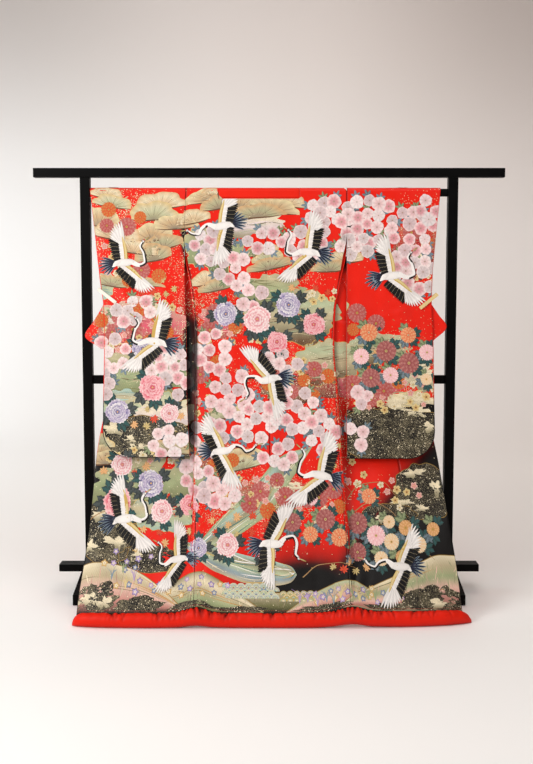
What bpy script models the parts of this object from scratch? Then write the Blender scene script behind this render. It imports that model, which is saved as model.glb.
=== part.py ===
# Uchikake, a long-sleeved wedding kimono, hung back outwards on a knock-down kimono stand.
# Units are metres, +Z is up, the wearer's left is at -X and the garment's back faces -Y.
# The origin is on the floor at the middle of the whole object's footprint.

import math

import bmesh
import bpy


def table(columns, rows):
    """A short table: one named column for each value, one row for each section."""
    return {name: [row[i] for row in rows] for i, name in enumerate(columns)}


# Stand: lacquered bars, the posts stand in the plane STAND_Y.
STAND_Y = 0.1393
TOP_RAIL = {"length": 1.800, "depth": 0.036, "height": 0.035, "top": 1.644}
POST = {"x": 0.7037, "width": 0.037, "depth": 0.036, "tenon_inset": 0.008, "top_tenon": 0.018}
HANG_RAIL = {"depth": 0.022, "height": 0.030, "top": 1.567}
MID_RAIL = {"depth": 0.018, "height": 0.033, "top": 0.850}
GROOVE = {"height": 0.017, "depth": 0.0012, "inset": 0.010}
LOWER_RAIL = {"length": 1.651, "depth": 0.061, "height": 0.028, "top": 0.105}
FOOT = {"x": 0.705, "width": 0.066, "length": 0.450, "end_height": 0.040, "saddle": 0.070, "mortise": 0.036}
HOUSING_DEPTH = 0.008
FIT_GAP = 0.0003
CUT_PAST = 0.010
TENON_PLAY = 0.002
EDGE_BEVEL = 0.0015

# Cloth: outer silk and lining together make one wall.
WALL = 0.003
SEAM_GAP = 0.0004
OPEN_GAP = 0.0018
COLLAR_GAP = 0.0021
DRAPE_CLEARANCE = 0.0010
HEM_SWEEP = 0.492
SWEEP_POWER = 2.0
HEM_HEIGHT = 0.050
HEM_RUN_TOP = 0.450
HEM_RISE_TOP = 0.280
LAYER_STEP = 0.010
LAYER_OPENS = 1.410
LAYER_OPEN_EASE = 0.110
UNDERARM = 1.200
UNDERARM_EASE = 0.150
ARM_SLIT = 1.380
LAPEL_TOP = 1.500
COLLAR_END = 0.800
COLLAR_WIDTH = 0.075
COLLAR_WIDENS = 1.200
COLLAR_NECK_DROP = 1.530
COLLAR_ARCH = 1.532
OKUMI_WIDTH = 0.149
OKUMI_TIP = 1.250
LEAD = 0.003
MIN_STEP = 0.0015

DRAPE_RADIUS = HANG_RAIL["depth"] / 2 + DRAPE_CLEARANCE + WALL / 2
DRAPE_CENTRE = HANG_RAIL["top"] - HANG_RAIL["depth"] / 2

# Where the middle back seam hangs, from the neck to the hem.
CENTRE_BACK = table(
    ("height", "x"),
    [(0.05, 0.006), (0.50, 0.004), (1.00, -0.006), (1.53, -0.015), (1.60, -0.015)],
)

# Body halves: distance of the side fold and of the free front edge from the stand's middle,
# how far the front runs back in under the side before it turns out again, and by how much it turns.
BODY_COLUMNS = ("height", "side", "leg", "turn", "edge")
BODY = {
    "left": table(BODY_COLUMNS, [
        (0.050, 0.2660, 0.006, 12, 0.6820),
        (0.110, 0.2665, 0.010, 26, 0.6795),
        (0.190, 0.2675, 0.014, 46, 0.6700),
        (0.310, 0.2680, 0.018, 72, 0.6590),
        (0.430, 0.2685, 0.023, 102, 0.6545),
        (0.550, 0.2690, 0.027, 130, 0.6485),
        (0.690, 0.2710, 0.031, 155, 0.6290),
        (0.800, 0.2720, 0.036, 170, 0.5950),
        (0.950, 0.2740, 0.046, 180, 0.5300),
        (1.100, 0.2830, 0.068, 180, 0.4500),
        (1.200, 0.2950, 0.099, 180, 0.3950),
        (1.290, 0.3110, 0.134, 180, 0.3400),
        (1.380, 0.3260, 0.168, 180, 0.2620),
        (1.460, 0.3220, 0.180, 180, 0.1750),
        (1.500, 0.3200, 0.185, 180, 0.1350),
        (1.556, 0.3170, 0.182, 180, 0.1350),
    ]),
    "right": table(BODY_COLUMNS, [
        (0.050, 0.2860, 0.006, 12, 0.6870),
        (0.110, 0.2850, 0.010, 26, 0.6840),
        (0.190, 0.2820, 0.014, 46, 0.6770),
        (0.310, 0.2770, 0.018, 72, 0.6630),
        (0.430, 0.2700, 0.023, 102, 0.6490),
        (0.550, 0.2620, 0.027, 130, 0.6330),
        (0.690, 0.2560, 0.031, 155, 0.6050),
        (0.800, 0.2510, 0.036, 170, 0.5700),
        (0.950, 0.2400, 0.046, 180, 0.5050),
        (1.100, 0.2450, 0.074, 180, 0.4250),
        (1.200, 0.2640, 0.118, 180, 0.3720),
        (1.290, 0.2790, 0.158, 180, 0.3150),
        (1.400, 0.2980, 0.207, 180, 0.1900),
        (1.460, 0.2980, 0.221, 180, 0.1150),
        (1.500, 0.2975, 0.237, 180, 0.0600),
        (1.556, 0.2970, 0.237, 180, 0.0600),
    ]),
}
NECK_EDGE = {"left": 0.192, "right": 0.116}
TURN_RADIUS = table(("height", "radius"), [(0.05, 0.011), (0.55, 0.007), (0.95, 0.005), (1.60, 0.005)])

# Sleeves: distance of the inner and the outer edge from the stand's middle.
SLEEVE_COLUMNS = ("height", "inner", "outer")
SLEEVE = {
    "left": table(SLEEVE_COLUMNS, [
        (0.563, 0.2960, 0.6215),
        (0.660, 0.3030, 0.6220),
        (0.767, 0.3100, 0.6240),
        (1.000, 0.3150, 0.6270),
        (1.127, 0.3180, 0.6330),
        (1.188, 0.3205, 0.6420),
        (1.290, 0.3235, 0.6560),
        (1.380, 0.3264, 0.6655),
        (1.460, 0.3224, 0.6740),
        (1.500, 0.3204, 0.6780),
        (1.556, 0.3174, 0.6840),
    ]),
    "right": table(SLEEVE_COLUMNS, [
        (0.558, 0.2890, 0.6195),
        (0.660, 0.2910, 0.6200),
        (0.767, 0.2930, 0.6215),
        (1.000, 0.2950, 0.6245),
        (1.127, 0.2960, 0.6210),
        (1.219, 0.2970, 0.6240),
        (1.290, 0.2975, 0.6300),
        (1.400, 0.2984, 0.6405),
        (1.460, 0.2984, 0.6460),
        (1.500, 0.2979, 0.6500),
        (1.556, 0.2974, 0.6550),
    ]),
}
SLEEVE_BOTTOM = {"left": 0.563, "right": 0.558}
SLEEVE_CORNER = 0.100
CUFF_END = 1.235
CUFF_EASE = 0.070
CUFF_CORNER = 0.80
CLOSED_LAYERS = 0.0038
CLOSING_START = 0.72
CLOSING_HEIGHT = 0.060
SLEEVE_ACROSS = (0.0, 0.36, 0.72, 0.86, 0.94, 1.0)
SLEEVE_UP = (0.0, 0.03, 0.08, 0.16, 0.27, 0.38, 0.49, 0.60, 0.70, 0.80, 0.90, 1.0)

# The corner of cloth that sticks out beside each sleeve, below the peg.
TUCK_GAP = 0.0008
TUCK_COLUMNS = ("height", "hidden", "outer")
TUCK = {
    "left": table(TUCK_COLUMNS, [
        (0.958, 0.6000, 0.6400),
        (1.007, 0.5850, 0.7030),
        (1.066, 0.5850, 0.6680),
        (1.125, 0.6000, 0.6340),
    ]),
    "right": table(TUCK_COLUMNS, [
        (0.988, 0.5950, 0.6270),
        (1.042, 0.5800, 0.6790),
        (1.086, 0.5800, 0.6490),
        (1.127, 0.5950, 0.6220),
    ]),
}

# Hem roll: the padded edge of the lining, from the left tip to the right tip.
ROLL = table(
    ("x", "y", "lift", "radius"),
    [
        (-0.698, -0.4560, 0.000, 0.0050),
        (-0.693, -0.4580, 0.000, 0.0115),
        (-0.682, -0.4610, 0.000, 0.0175),
        (-0.664, -0.4650, 0.000, 0.0215),
        (-0.640, -0.4690, 0.000, 0.0228),
        (-0.560, -0.4760, 0.000, 0.0235),
        (-0.420, -0.4790, 0.000, 0.0240),
        (-0.330, -0.4790, 0.003, 0.0250),
        (-0.255, -0.4780, 0.011, 0.0265),
        (-0.190, -0.4780, 0.003, 0.0250),
        (-0.060, -0.4780, 0.000, 0.0240),
        (0.120, -0.4780, 0.000, 0.0240),
        (0.215, -0.4765, 0.004, 0.0250),
        (0.292, -0.4740, 0.012, 0.0270),
        (0.370, -0.4710, 0.003, 0.0255),
        (0.500, -0.4640, 0.000, 0.0250),
        (0.620, -0.4500, 0.000, 0.0245),
        (0.680, -0.4350, 0.000, 0.0215),
        (0.706, -0.4280, 0.000, 0.0150),
        (0.722, -0.4230, 0.000, 0.0050),
    ],
)
ROLL_FLAT = 0.90
ROLL_SIDES = 12
ROLL_SECTIONS = 42
ROLL_CROWDING = 0.10
HEM_STEP = 0.0021

# Pegs: plain wooden clothes pegs, the jaw tip and the way to the handle in the sleeve's plane.
PEG = {"length": 0.087, "width": 0.0125, "leg": 0.0055, "grip": 0.0775, "heel": 0.0805, "play": 0.0009}
PEG_NOSE = {"length": 0.010, "lip": 0.003}
PEG_HANDLE = {"thickness": 0.004, "notch": 0.002}
PEG_TIP = {"left": (0.585, 1.132), "right": (0.576, 1.111)}
PEG_TOP = {"left": (0.658, 1.188), "right": (0.641, 1.163)}

SIGN = {"left": -1.0, "right": 1.0}

FINISH = {
    "lacquer": ((0.012, 0.011, 0.013), 0.32, 0.0),
    "peg_wood": ((0.72, 0.56, 0.36), 0.62, 0.0),
    "silk": ((0.74, 0.045, 0.035), 0.48, 0.0),
    "lining": ((0.80, 0.035, 0.020), 0.55, 0.0),
}


def clear_scene():
    for item in list(bpy.data.objects):
        bpy.data.objects.remove(item, do_unlink=True)


def finish_material(name):
    color, roughness, metallic = FINISH[name]
    material = bpy.data.materials.new(name)
    material.use_nodes = True
    shader = material.node_tree.nodes["Principled BSDF"]
    shader.inputs["Base Color"].default_value = (*color, 1.0)
    shader.inputs["Roughness"].default_value = roughness
    shader.inputs["Metallic"].default_value = metallic
    return material


def new_object(name, bm, finish):
    mesh = bpy.data.meshes.new(name)
    bm.normal_update()
    bm.to_mesh(mesh)
    bm.free()
    mesh.materials.append(finish_material(finish))
    item = bpy.data.objects.new(name, mesh)
    bpy.context.scene.collection.objects.link(item)
    return item


def smoothstep(value):
    t = min(max(value, 0.0), 1.0)
    return t * t * (3.0 - 2.0 * t)


def read(tab, column, at, key="height"):
    """Value of a column at a height, on a smooth curve that never overshoots its rows."""
    xs = tab[key]
    ys = tab[column]
    if at <= xs[0]:
        return ys[0]
    if at >= xs[-1]:
        return ys[-1]
    i = max(k for k in range(len(xs) - 1) if xs[k] <= at)
    slopes = [(ys[k + 1] - ys[k]) / (xs[k + 1] - xs[k]) for k in range(len(xs) - 1)]

    def tangent(k):
        if k == 0 or k == len(xs) - 1:
            return slopes[min(k, len(slopes) - 1)]
        before, after = slopes[k - 1], slopes[k]
        if before * after <= 0.0:
            return 0.0
        return 2.0 * before * after / (before + after)

    span = xs[i + 1] - xs[i]
    t = (at - xs[i]) / span
    h00 = 2 * t**3 - 3 * t**2 + 1
    h10 = t**3 - 2 * t**2 + t
    h01 = -2 * t**3 + 3 * t**2
    h11 = t**3 - t**2
    return h00 * ys[i] + h10 * span * tangent(i) + h01 * ys[i + 1] + h11 * span * tangent(i + 1)


# ---------------------------------------------------------------- stand

def box_mesh(low, high):
    bm = bmesh.new()
    bmesh.ops.create_cube(bm, size=1.0)
    for vert in bm.verts:
        for axis in range(3):
            vert.co[axis] = low[axis] + (vert.co[axis] + 0.5) * (high[axis] - low[axis])
    return bm


def bar(name, low, high):
    item = new_object(name, box_mesh(low, high), "lacquer")
    bevel(item)
    return item


def bevel(item, width=EDGE_BEVEL):
    modifier = item.modifiers.new("edges", "BEVEL")
    modifier.width = width
    modifier.segments = 2
    modifier.limit_method = "ANGLE"


def cut(item, bm, name):
    """Takes a shape out of a piece; the cutter stays as a hidden wire object."""
    mesh = bpy.data.meshes.new(name)
    bm.to_mesh(mesh)
    bm.free()
    cutter = bpy.data.objects.new(name, mesh)
    bpy.context.scene.collection.objects.link(cutter)
    cutter.hide_render = True
    cutter.display_type = "WIRE"
    modifier = item.modifiers.new(name, "BOOLEAN")
    modifier.operation = "DIFFERENCE"
    modifier.solver = "EXACT"
    modifier.object = cutter


def stadium(depth, height, centre_z, x0, x1, steps=7):
    """A bar along X whose section is a slot shape: half rounds above and below."""
    radius = depth / 2
    straight = height / 2 - radius
    section = []
    for i in range(steps + 1):
        angle = math.pi * i / steps
        section.append((radius * math.cos(angle), straight + radius * math.sin(angle)))
    for i in range(steps + 1):
        angle = math.pi + math.pi * i / steps
        section.append((radius * math.cos(angle), -straight + radius * math.sin(angle)))
    bm = bmesh.new()
    verts = [bm.verts.new((x0, STAND_Y + y, centre_z + z)) for y, z in section]
    face = bm.faces.new(verts)
    extruded = bmesh.ops.extrude_face_region(bm, geom=[face])
    moved = [v for v in extruded["geom"] if isinstance(v, bmesh.types.BMVert)]
    bmesh.ops.translate(bm, verts=moved, vec=(x1 - x0, 0, 0))
    bmesh.ops.recalc_face_normals(bm, faces=bm.faces)
    return bm


def inner_reach():
    """Half the length of a rail that is housed in both posts."""
    return POST["x"] - POST["width"] / 2 + HOUSING_DEPTH - FIT_GAP


def housing(rail, centre_x):
    """Pocket in a post's inner face for the end of a rail."""
    side = math.copysign(1.0, centre_x)
    inner_face = centre_x - side * POST["width"] / 2
    ends = sorted((inner_face - side * CUT_PAST, inner_face + side * HOUSING_DEPTH))
    low = (ends[0], STAND_Y - rail["depth"] / 2 - FIT_GAP, rail["top"] - rail["height"] - FIT_GAP)
    high = (ends[1], STAND_Y + rail["depth"] / 2 + FIT_GAP, rail["top"] + FIT_GAP)
    return box_mesh(low, high)


def post(side):
    """A post with a stub tenon for the top rail and a long one through the lower rail into the foot."""
    x = SIGN[side] * POST["x"]
    low_z = LOWER_RAIL["top"] + FIT_GAP
    high_z = TOP_RAIL["top"] - TOP_RAIL["height"] - FIT_GAP
    half_w = POST["width"] / 2
    half_d = POST["depth"] / 2
    bm = box_mesh((x - half_w, STAND_Y - half_d, low_z), (x + half_w, STAND_Y + half_d, high_z))
    bm.normal_update()
    lengths = {1: POST["top_tenon"], -1: LOWER_RAIL["height"] + FOOT["mortise"] - TENON_PLAY}
    for direction, length in lengths.items():
        face = next(f for f in bm.faces if f.normal.z * direction > 0.9)
        bmesh.ops.inset_region(bm, faces=[face], thickness=POST["tenon_inset"], use_even_offset=True)
        moved = bmesh.ops.extrude_face_region(bm, geom=[face])
        verts = [v for v in moved["geom"] if isinstance(v, bmesh.types.BMVert)]
        bmesh.ops.translate(bm, verts=verts, vec=(0, 0, direction * length))
        bmesh.ops.delete(bm, geom=[face], context="FACES")
        bm.normal_update()
    item = new_object("stand_post_" + side, bm, "lacquer")
    bevel(item, 0.001)
    cut(item, housing(HANG_RAIL, x), "housing_hang_" + side)
    cut(item, housing(MID_RAIL, x), "housing_mid_" + side)


def mortise(x, low_z, high_z):
    """Square hole for a post's tenon."""
    half_w = POST["width"] / 2 - POST["tenon_inset"] + FIT_GAP
    half_d = POST["depth"] / 2 - POST["tenon_inset"] + FIT_GAP
    return box_mesh((x - half_w, STAND_Y - half_d, low_z), (x + half_w, STAND_Y + half_d, high_z))


def top_rail():
    under = TOP_RAIL["top"] - TOP_RAIL["height"]
    low = (-TOP_RAIL["length"] / 2, STAND_Y - TOP_RAIL["depth"] / 2, under)
    high = (TOP_RAIL["length"] / 2, STAND_Y + TOP_RAIL["depth"] / 2, TOP_RAIL["top"])
    item = bar("stand_top_rail", low, high)
    for side, sign in SIGN.items():
        hole = mortise(sign * POST["x"], under - CUT_PAST, under + POST["top_tenon"] + FIT_GAP)
        cut(item, hole, "mortise_top_" + side)


def lower_rail():
    under = LOWER_RAIL["top"] - LOWER_RAIL["height"]
    low = (-LOWER_RAIL["length"] / 2, STAND_Y - LOWER_RAIL["depth"] / 2, under)
    high = (LOWER_RAIL["length"] / 2, STAND_Y + LOWER_RAIL["depth"] / 2, LOWER_RAIL["top"])
    item = bar("stand_lower_rail", low, high)
    for side, sign in SIGN.items():
        hole = mortise(sign * POST["x"], under - CUT_PAST, LOWER_RAIL["top"] + CUT_PAST)
        cut(item, hole, "mortise_low_" + side)


def hang_rail():
    middle = HANG_RAIL["top"] - HANG_RAIL["height"] / 2
    bm = stadium(HANG_RAIL["depth"], HANG_RAIL["height"], middle, -inner_reach(), inner_reach())
    item = new_object("stand_hang_rail", bm, "lacquer")
    item.data.shade_smooth()
    item.data.set_sharp_from_angle(angle=math.radians(40))


def mid_rail():
    """Flat rail with one long shallow groove, round at both ends, in its front face."""
    middle = MID_RAIL["top"] - MID_RAIL["height"] / 2
    half_d = MID_RAIL["depth"] / 2
    reach = inner_reach()
    item = bar(
        "stand_mid_rail",
        (-reach, STAND_Y - half_d, middle - MID_RAIL["height"] / 2),
        (reach, STAND_Y + half_d, middle + MID_RAIL["height"] / 2),
    )
    radius = GROOVE["height"] / 2
    end_x = POST["x"] - POST["width"] / 2 - GROOVE["inset"] - radius
    outline = []
    for i in range(9):
        angle = -math.pi / 2 + math.pi * i / 8
        outline.append((end_x + radius * math.cos(angle), middle + radius * math.sin(angle)))
    for i in range(9):
        angle = math.pi / 2 + math.pi * i / 8
        outline.append((-end_x + radius * math.cos(angle), middle + radius * math.sin(angle)))
    front = STAND_Y - half_d
    bm = bmesh.new()
    face = bm.faces.new([bm.verts.new((x, front - CUT_PAST, z)) for x, z in outline])
    moved = bmesh.ops.extrude_face_region(bm, geom=[face])
    verts = [v for v in moved["geom"] if isinstance(v, bmesh.types.BMVert)]
    bmesh.ops.translate(bm, verts=verts, vec=(0, CUT_PAST + GROOVE["depth"], 0))
    bmesh.ops.recalc_face_normals(bm, faces=bm.faces)
    cut(item, bm, "groove")


def foot(side):
    """A flat-bottomed runner, low at both ends, with a level saddle under the lower rail."""
    saddle_z = LOWER_RAIL["top"] - LOWER_RAIL["height"] - FIT_GAP
    half_l = FOOT["length"] / 2
    half_s = FOOT["saddle"] / 2
    outline = [
        (-half_l, 0.0), (half_l, 0.0), (half_l, FOOT["end_height"]),
        (half_s, saddle_z), (-half_s, saddle_z), (-half_l, FOOT["end_height"]),
    ]
    x0 = SIGN[side] * FOOT["x"] - FOOT["width"] / 2
    bm = bmesh.new()
    face = bm.faces.new([bm.verts.new((x0, STAND_Y + y, z)) for y, z in outline])
    moved = bmesh.ops.extrude_face_region(bm, geom=[face])
    verts = [v for v in moved["geom"] if isinstance(v, bmesh.types.BMVert)]
    bmesh.ops.translate(bm, verts=verts, vec=(FOOT["width"], 0, 0))
    bmesh.ops.recalc_face_normals(bm, faces=bm.faces)
    item = new_object("stand_foot_" + side, bm, "lacquer")
    bevel(item)
    x = SIGN[side] * POST["x"]
    cut(item, mortise(x, saddle_z - FOOT["mortise"], saddle_z + CUT_PAST), "mortise_foot_" + side)


# ---------------------------------------------------------------- drape

def near_y(height):
    """Depth of the near layer, from the stand's plane: down the rail, then swept forward to the hem."""
    fall = max(DRAPE_CENTRE - height, 0.0) / DRAPE_CENTRE
    return -DRAPE_RADIUS - HEM_SWEEP * fall**SWEEP_POWER


def layer_gap(height):
    """Distance from the near layer to the layer that comes down behind the rail."""
    return LAYER_STEP + (2 * DRAPE_RADIUS - LAYER_STEP) * smoothstep((height - LAYER_OPENS) / LAYER_OPEN_EASE)


def roll_top(x):
    lift = read(ROLL, "lift", x, "x")
    radius = read(ROLL, "radius", x, "x")
    return 2 * radius * ROLL_FLAT + lift


def place(x, depth, height):
    """Sets a point of the hung cloth in the room; the hem follows the roll's run and height."""
    low = smoothstep((HEM_RUN_TOP - height) / (HEM_RUN_TOP - HEM_HEIGHT))
    run = read(ROLL, "y", x, "x") - read(ROLL, "y", 0.0, "x")
    rise = roll_top(x) + HEM_STEP - HEM_HEIGHT
    fade = smoothstep((HEM_RISE_TOP - height) / (HEM_RISE_TOP - HEM_HEIGHT))
    return (x, STAND_Y + depth + run * low**2, height + rise * fade)


def over_rail(x, angle):
    """A point of cloth on the round of the hang rail; the angle runs from the near side to the far side."""
    return (
        x,
        STAND_Y + DRAPE_RADIUS * math.sin(angle),
        DRAPE_CENTRE + DRAPE_RADIUS * math.cos(angle),
    )


RAIL_ANGLES = [math.radians(a) for a in (-54, -18, 18, 54)]


class FrontLine:
    """Plan of one front at one height, from the side seam to the free edge, as lines and round turns."""

    def __init__(self, side, height):
        self.height = height
        rows = BODY[side]
        side_x = read(rows, "side", height)
        edge = read(rows, "edge", height)
        turn = math.radians(read(rows, "turn", height))
        radius = read(TURN_RADIUS, "radius", height)
        opened = smoothstep((height - UNDERARM) / UNDERARM_EASE)
        open_x = read(SLEEVE[side], "inner", height) - (SEAM_GAP if height >= ARM_SLIT else OPEN_GAP)
        start_x = side_x + SEAM_GAP + (open_x - side_x - SEAM_GAP) * opened
        heading = math.pi * opened
        depth = near_y(height) + layer_gap(height) * (1.0 - math.cos(heading)) / 2
        self.start = (start_x, depth, heading)
        self.steps = [("line", LEAD), ("arc", radius, turn - heading)]
        turned_x = self.end_x()
        if height >= LAPEL_TOP:
            self.steps.append(("line", turned_x - edge))
            return
        moved_out = turned_x - side_x - SEAM_GAP - LEAD if opened > 0.0 else 0.0
        self.steps.append(("line", read(rows, "leg", height) + moved_out))
        self.steps.append(("arc", radius, -turn))
        self.steps.append(("line", edge - self.end_x()))

    def end_x(self):
        return self.point(self.length())[0]

    def length(self):
        return sum(step[1] if step[0] == "line" else step[1] * abs(step[2]) for step in self.steps)

    def turns(self):
        """Start and end of each round turn along the line."""
        spans = []
        along = 0.0
        for step in self.steps:
            size = step[1] if step[0] == "line" else step[1] * abs(step[2])
            if step[0] == "arc":
                spans.append((along, along + size))
            along += size
        return spans

    def point(self, along):
        x, y, heading = self.start
        for step in self.steps:
            size = step[1] if step[0] == "line" else step[1] * abs(step[2])
            part = min(along, size)
            if step[0] == "line":
                x += part * math.cos(heading)
                y += part * math.sin(heading)
            else:
                sign = math.copysign(1.0, step[2])
                turned = sign * part / step[1]
                x += sign * step[1] * (math.sin(heading + turned) - math.sin(heading))
                y += sign * step[1] * (math.cos(heading) - math.cos(heading + turned))
                heading += turned
            along -= part
            if along <= 0.0:
                break
        return x, y


def stations(start, end, turns, counts):
    """Column places from start to end, with their own columns round each turn."""
    marks = [start]
    for low, high in turns:
        marks.extend((low, high))
    marks.append(end)
    marks = [min(max(mark, start), end) for mark in marks]
    places = [marks[0]]
    for i, count in enumerate(counts):
        for k in range(1, count + 1):
            places.append(marks[i] + (marks[i + 1] - marks[i]) * k / count)
    step = min(MIN_STEP, (end - start) / (len(places) - 1) * 0.9)
    for i in range(1, len(places)):
        places[i] = max(places[i], places[i - 1] + step)
    places[-1] = end
    for i in range(len(places) - 2, -1, -1):
        places[i] = min(places[i], places[i + 1] - step)
    places[0] = start
    return places


def collar_width(side, height):
    if height < COLLAR_END:
        return 0.0
    if height >= LAPEL_TOP:
        return NECK_EDGE[side] - read(BODY[side], "edge", height)
    neck = NECK_EDGE[side] - read(BODY[side], "edge", LAPEL_TOP)
    widened = smoothstep((height - COLLAR_WIDENS) / (LAPEL_TOP - COLLAR_WIDENS))
    return COLLAR_WIDTH + (neck - COLLAR_WIDTH) * widened


def okumi_width(height):
    if height < COLLAR_END:
        return OKUMI_WIDTH
    return (OKUMI_WIDTH - COLLAR_WIDTH) * max(OKUMI_TIP - height, 0.0) / (OKUMI_TIP - COLLAR_END)


def front_limits(side, height):
    """Where the front body ends and the collar starts, along the front line."""
    line = FrontLine(side, height)
    total = line.length()
    collar = total - collar_width(side, height)
    body = collar - okumi_width(height)
    return line, body, collar, total


def two_turns(line):
    """The front line's turns as a pair: above the lapel the second one has no length, at the line's end."""
    spans = line.turns()
    if len(spans) == 2:
        return spans
    return spans + [(line.length(), line.length())]


def sheet(name, grid, keep, finish="silk"):
    """A cloth wall: a grid of points along and across, where keep marks the squares that are cloth."""
    bm = bmesh.new()
    verts = {}

    def vert(i, j):
        if (i, j) not in verts:
            verts[(i, j)] = bm.verts.new(grid[i][j])
        return verts[(i, j)]

    for i in range(len(grid) - 1):
        for j in range(len(grid[i]) - 1):
            if keep[i][j]:
                bm.faces.new((vert(i, j), vert(i, j + 1), vert(i + 1, j + 1), vert(i + 1, j)))
    return wall(name, bm, finish)


def wall(name, bm, finish):
    bmesh.ops.recalc_face_normals(bm, faces=bm.faces)
    item = new_object(name, bm, finish)
    modifier = item.modifiers.new("wall", "SOLIDIFY")
    modifier.thickness = WALL
    modifier.offset = 0.0
    modifier.use_even_offset = True
    item.data.shade_smooth()
    return item


LOWER_HEIGHTS = (HEM_HEIGHT, 0.10, 0.17, 0.27, 0.40, 0.54, 0.68)
LAPEL_HEIGHTS = (COLLAR_END, 0.91, 1.02, 1.12, OKUMI_TIP - 0.012)
OPEN_HEIGHTS = (1.275, 1.310, 1.345)
# The collar's seam passes round the lapel's fold between these heights.
CROSSING_HEIGHTS = (1.424, 1.430, 1.436, 1.440, 1.444, 1.448, 1.452, 1.458)
NECK_HEIGHTS = (1.48, LAPEL_TOP, COLLAR_NECK_DROP, DRAPE_CENTRE)
SHOULDER_HEIGHTS = (ARM_SLIT, 1.41, 1.44) + NECK_HEIGHTS
BACK_HEIGHTS = LOWER_HEIGHTS + LAPEL_HEIGHTS + OPEN_HEIGHTS[1:2] + SHOULDER_HEIGHTS
FRONT_HEIGHTS = LOWER_HEIGHTS + LAPEL_HEIGHTS + OPEN_HEIGHTS + (ARM_SLIT,) + CROSSING_HEIGHTS + NECK_HEIGHTS
BODY_COUNTS = (1, 3, 1, 3, 2)
NECK_COLUMNS = 2


def body_half(side):
    """One width of cloth from the back hem over the rail to the front hem."""
    sign = SIGN[side]
    columns = sum(BODY_COUNTS)
    grid = []
    keep = []
    for height in BACK_HEIGHTS:
        outer = read(BODY[side], "side", height)
        centre = sign * read(CENTRE_BACK, "x", height) + SEAM_GAP / 2
        neck = NECK_EDGE[side] + COLLAR_GAP / 2
        xs = [outer + (neck - outer) * k / columns for k in range(columns + 1)]
        xs += [neck + (centre - neck) * k / NECK_COLUMNS for k in range(1, NECK_COLUMNS + 1)]
        grid.append([place(sign * x, near_y(height), height) for x in xs])
        keep.append([True] * columns + [height < COLLAR_NECK_DROP - 0.001] * NECK_COLUMNS)
    top = read(BODY[side], "side", DRAPE_CENTRE)
    for angle in RAIL_ANGLES:
        xs = [top + (neck - top) * k / columns for k in range(columns + 1)]
        xs += [neck - 0.01 * k for k in range(1, NECK_COLUMNS + 1)]
        grid.append([over_rail(sign * x, angle) for x in xs])
        keep.append([True] * columns + [False] * NECK_COLUMNS)
    for height in reversed(FRONT_HEIGHTS):
        line, body_end = front_limits(side, height)[:2]
        gap = COLLAR_GAP / 2 if okumi_width(height) <= 0.0 else SEAM_GAP / 2
        places = stations(0.0, body_end - gap, two_turns(line), BODY_COUNTS)
        row = [line.point(s) for s in places]
        row = [place(sign * x, y, height) for x, y in row]
        row += [(p[0] + sign * 0.01, p[1], p[2]) for p in [row[-1]] * NECK_COLUMNS]
        grid.append(row)
        keep.append([True] * columns + [False] * NECK_COLUMNS)
    return sheet("body_" + side, grid, keep)


NOTCH_GAP = 0.0006
OKUMI_HEIGHTS = LOWER_HEIGHTS + (COLLAR_END - NOTCH_GAP,)


def okumi(side):
    """The narrow front overlap: full width up to the collar's end, then a long taper."""
    sign = SIGN[side]
    inner_columns = 2
    outer_columns = 4
    grid = []
    keep = []
    for height in OKUMI_HEIGHTS + LAPEL_HEIGHTS:
        line, start, collar_start, total = front_limits(side, height)
        start += SEAM_GAP / 2
        if height < COLLAR_END:
            notch = total - COLLAR_WIDTH - COLLAR_GAP / 2
        else:
            notch = collar_start - COLLAR_GAP / 2
        places = [start + (notch - start) * k / inner_columns for k in range(inner_columns + 1)]
        places += [notch + (total - notch) * k / outer_columns for k in range(1, outer_columns + 1)]
        row = [line.point(s) for s in places]
        grid.append([place(sign * x, y, height) for x, y in row])
        below = height < OKUMI_HEIGHTS[-1] - 0.0001
        keep.append([True] * inner_columns + [below] * outer_columns)
    return sheet("okumi_" + side, grid, keep)


BAND_HEIGHTS = FRONT_HEIGHTS[-3:len(LOWER_HEIGHTS):-1] + (COLLAR_END + NOTCH_GAP,)
BAND_COUNTS = (1, 3, 2)


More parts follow.
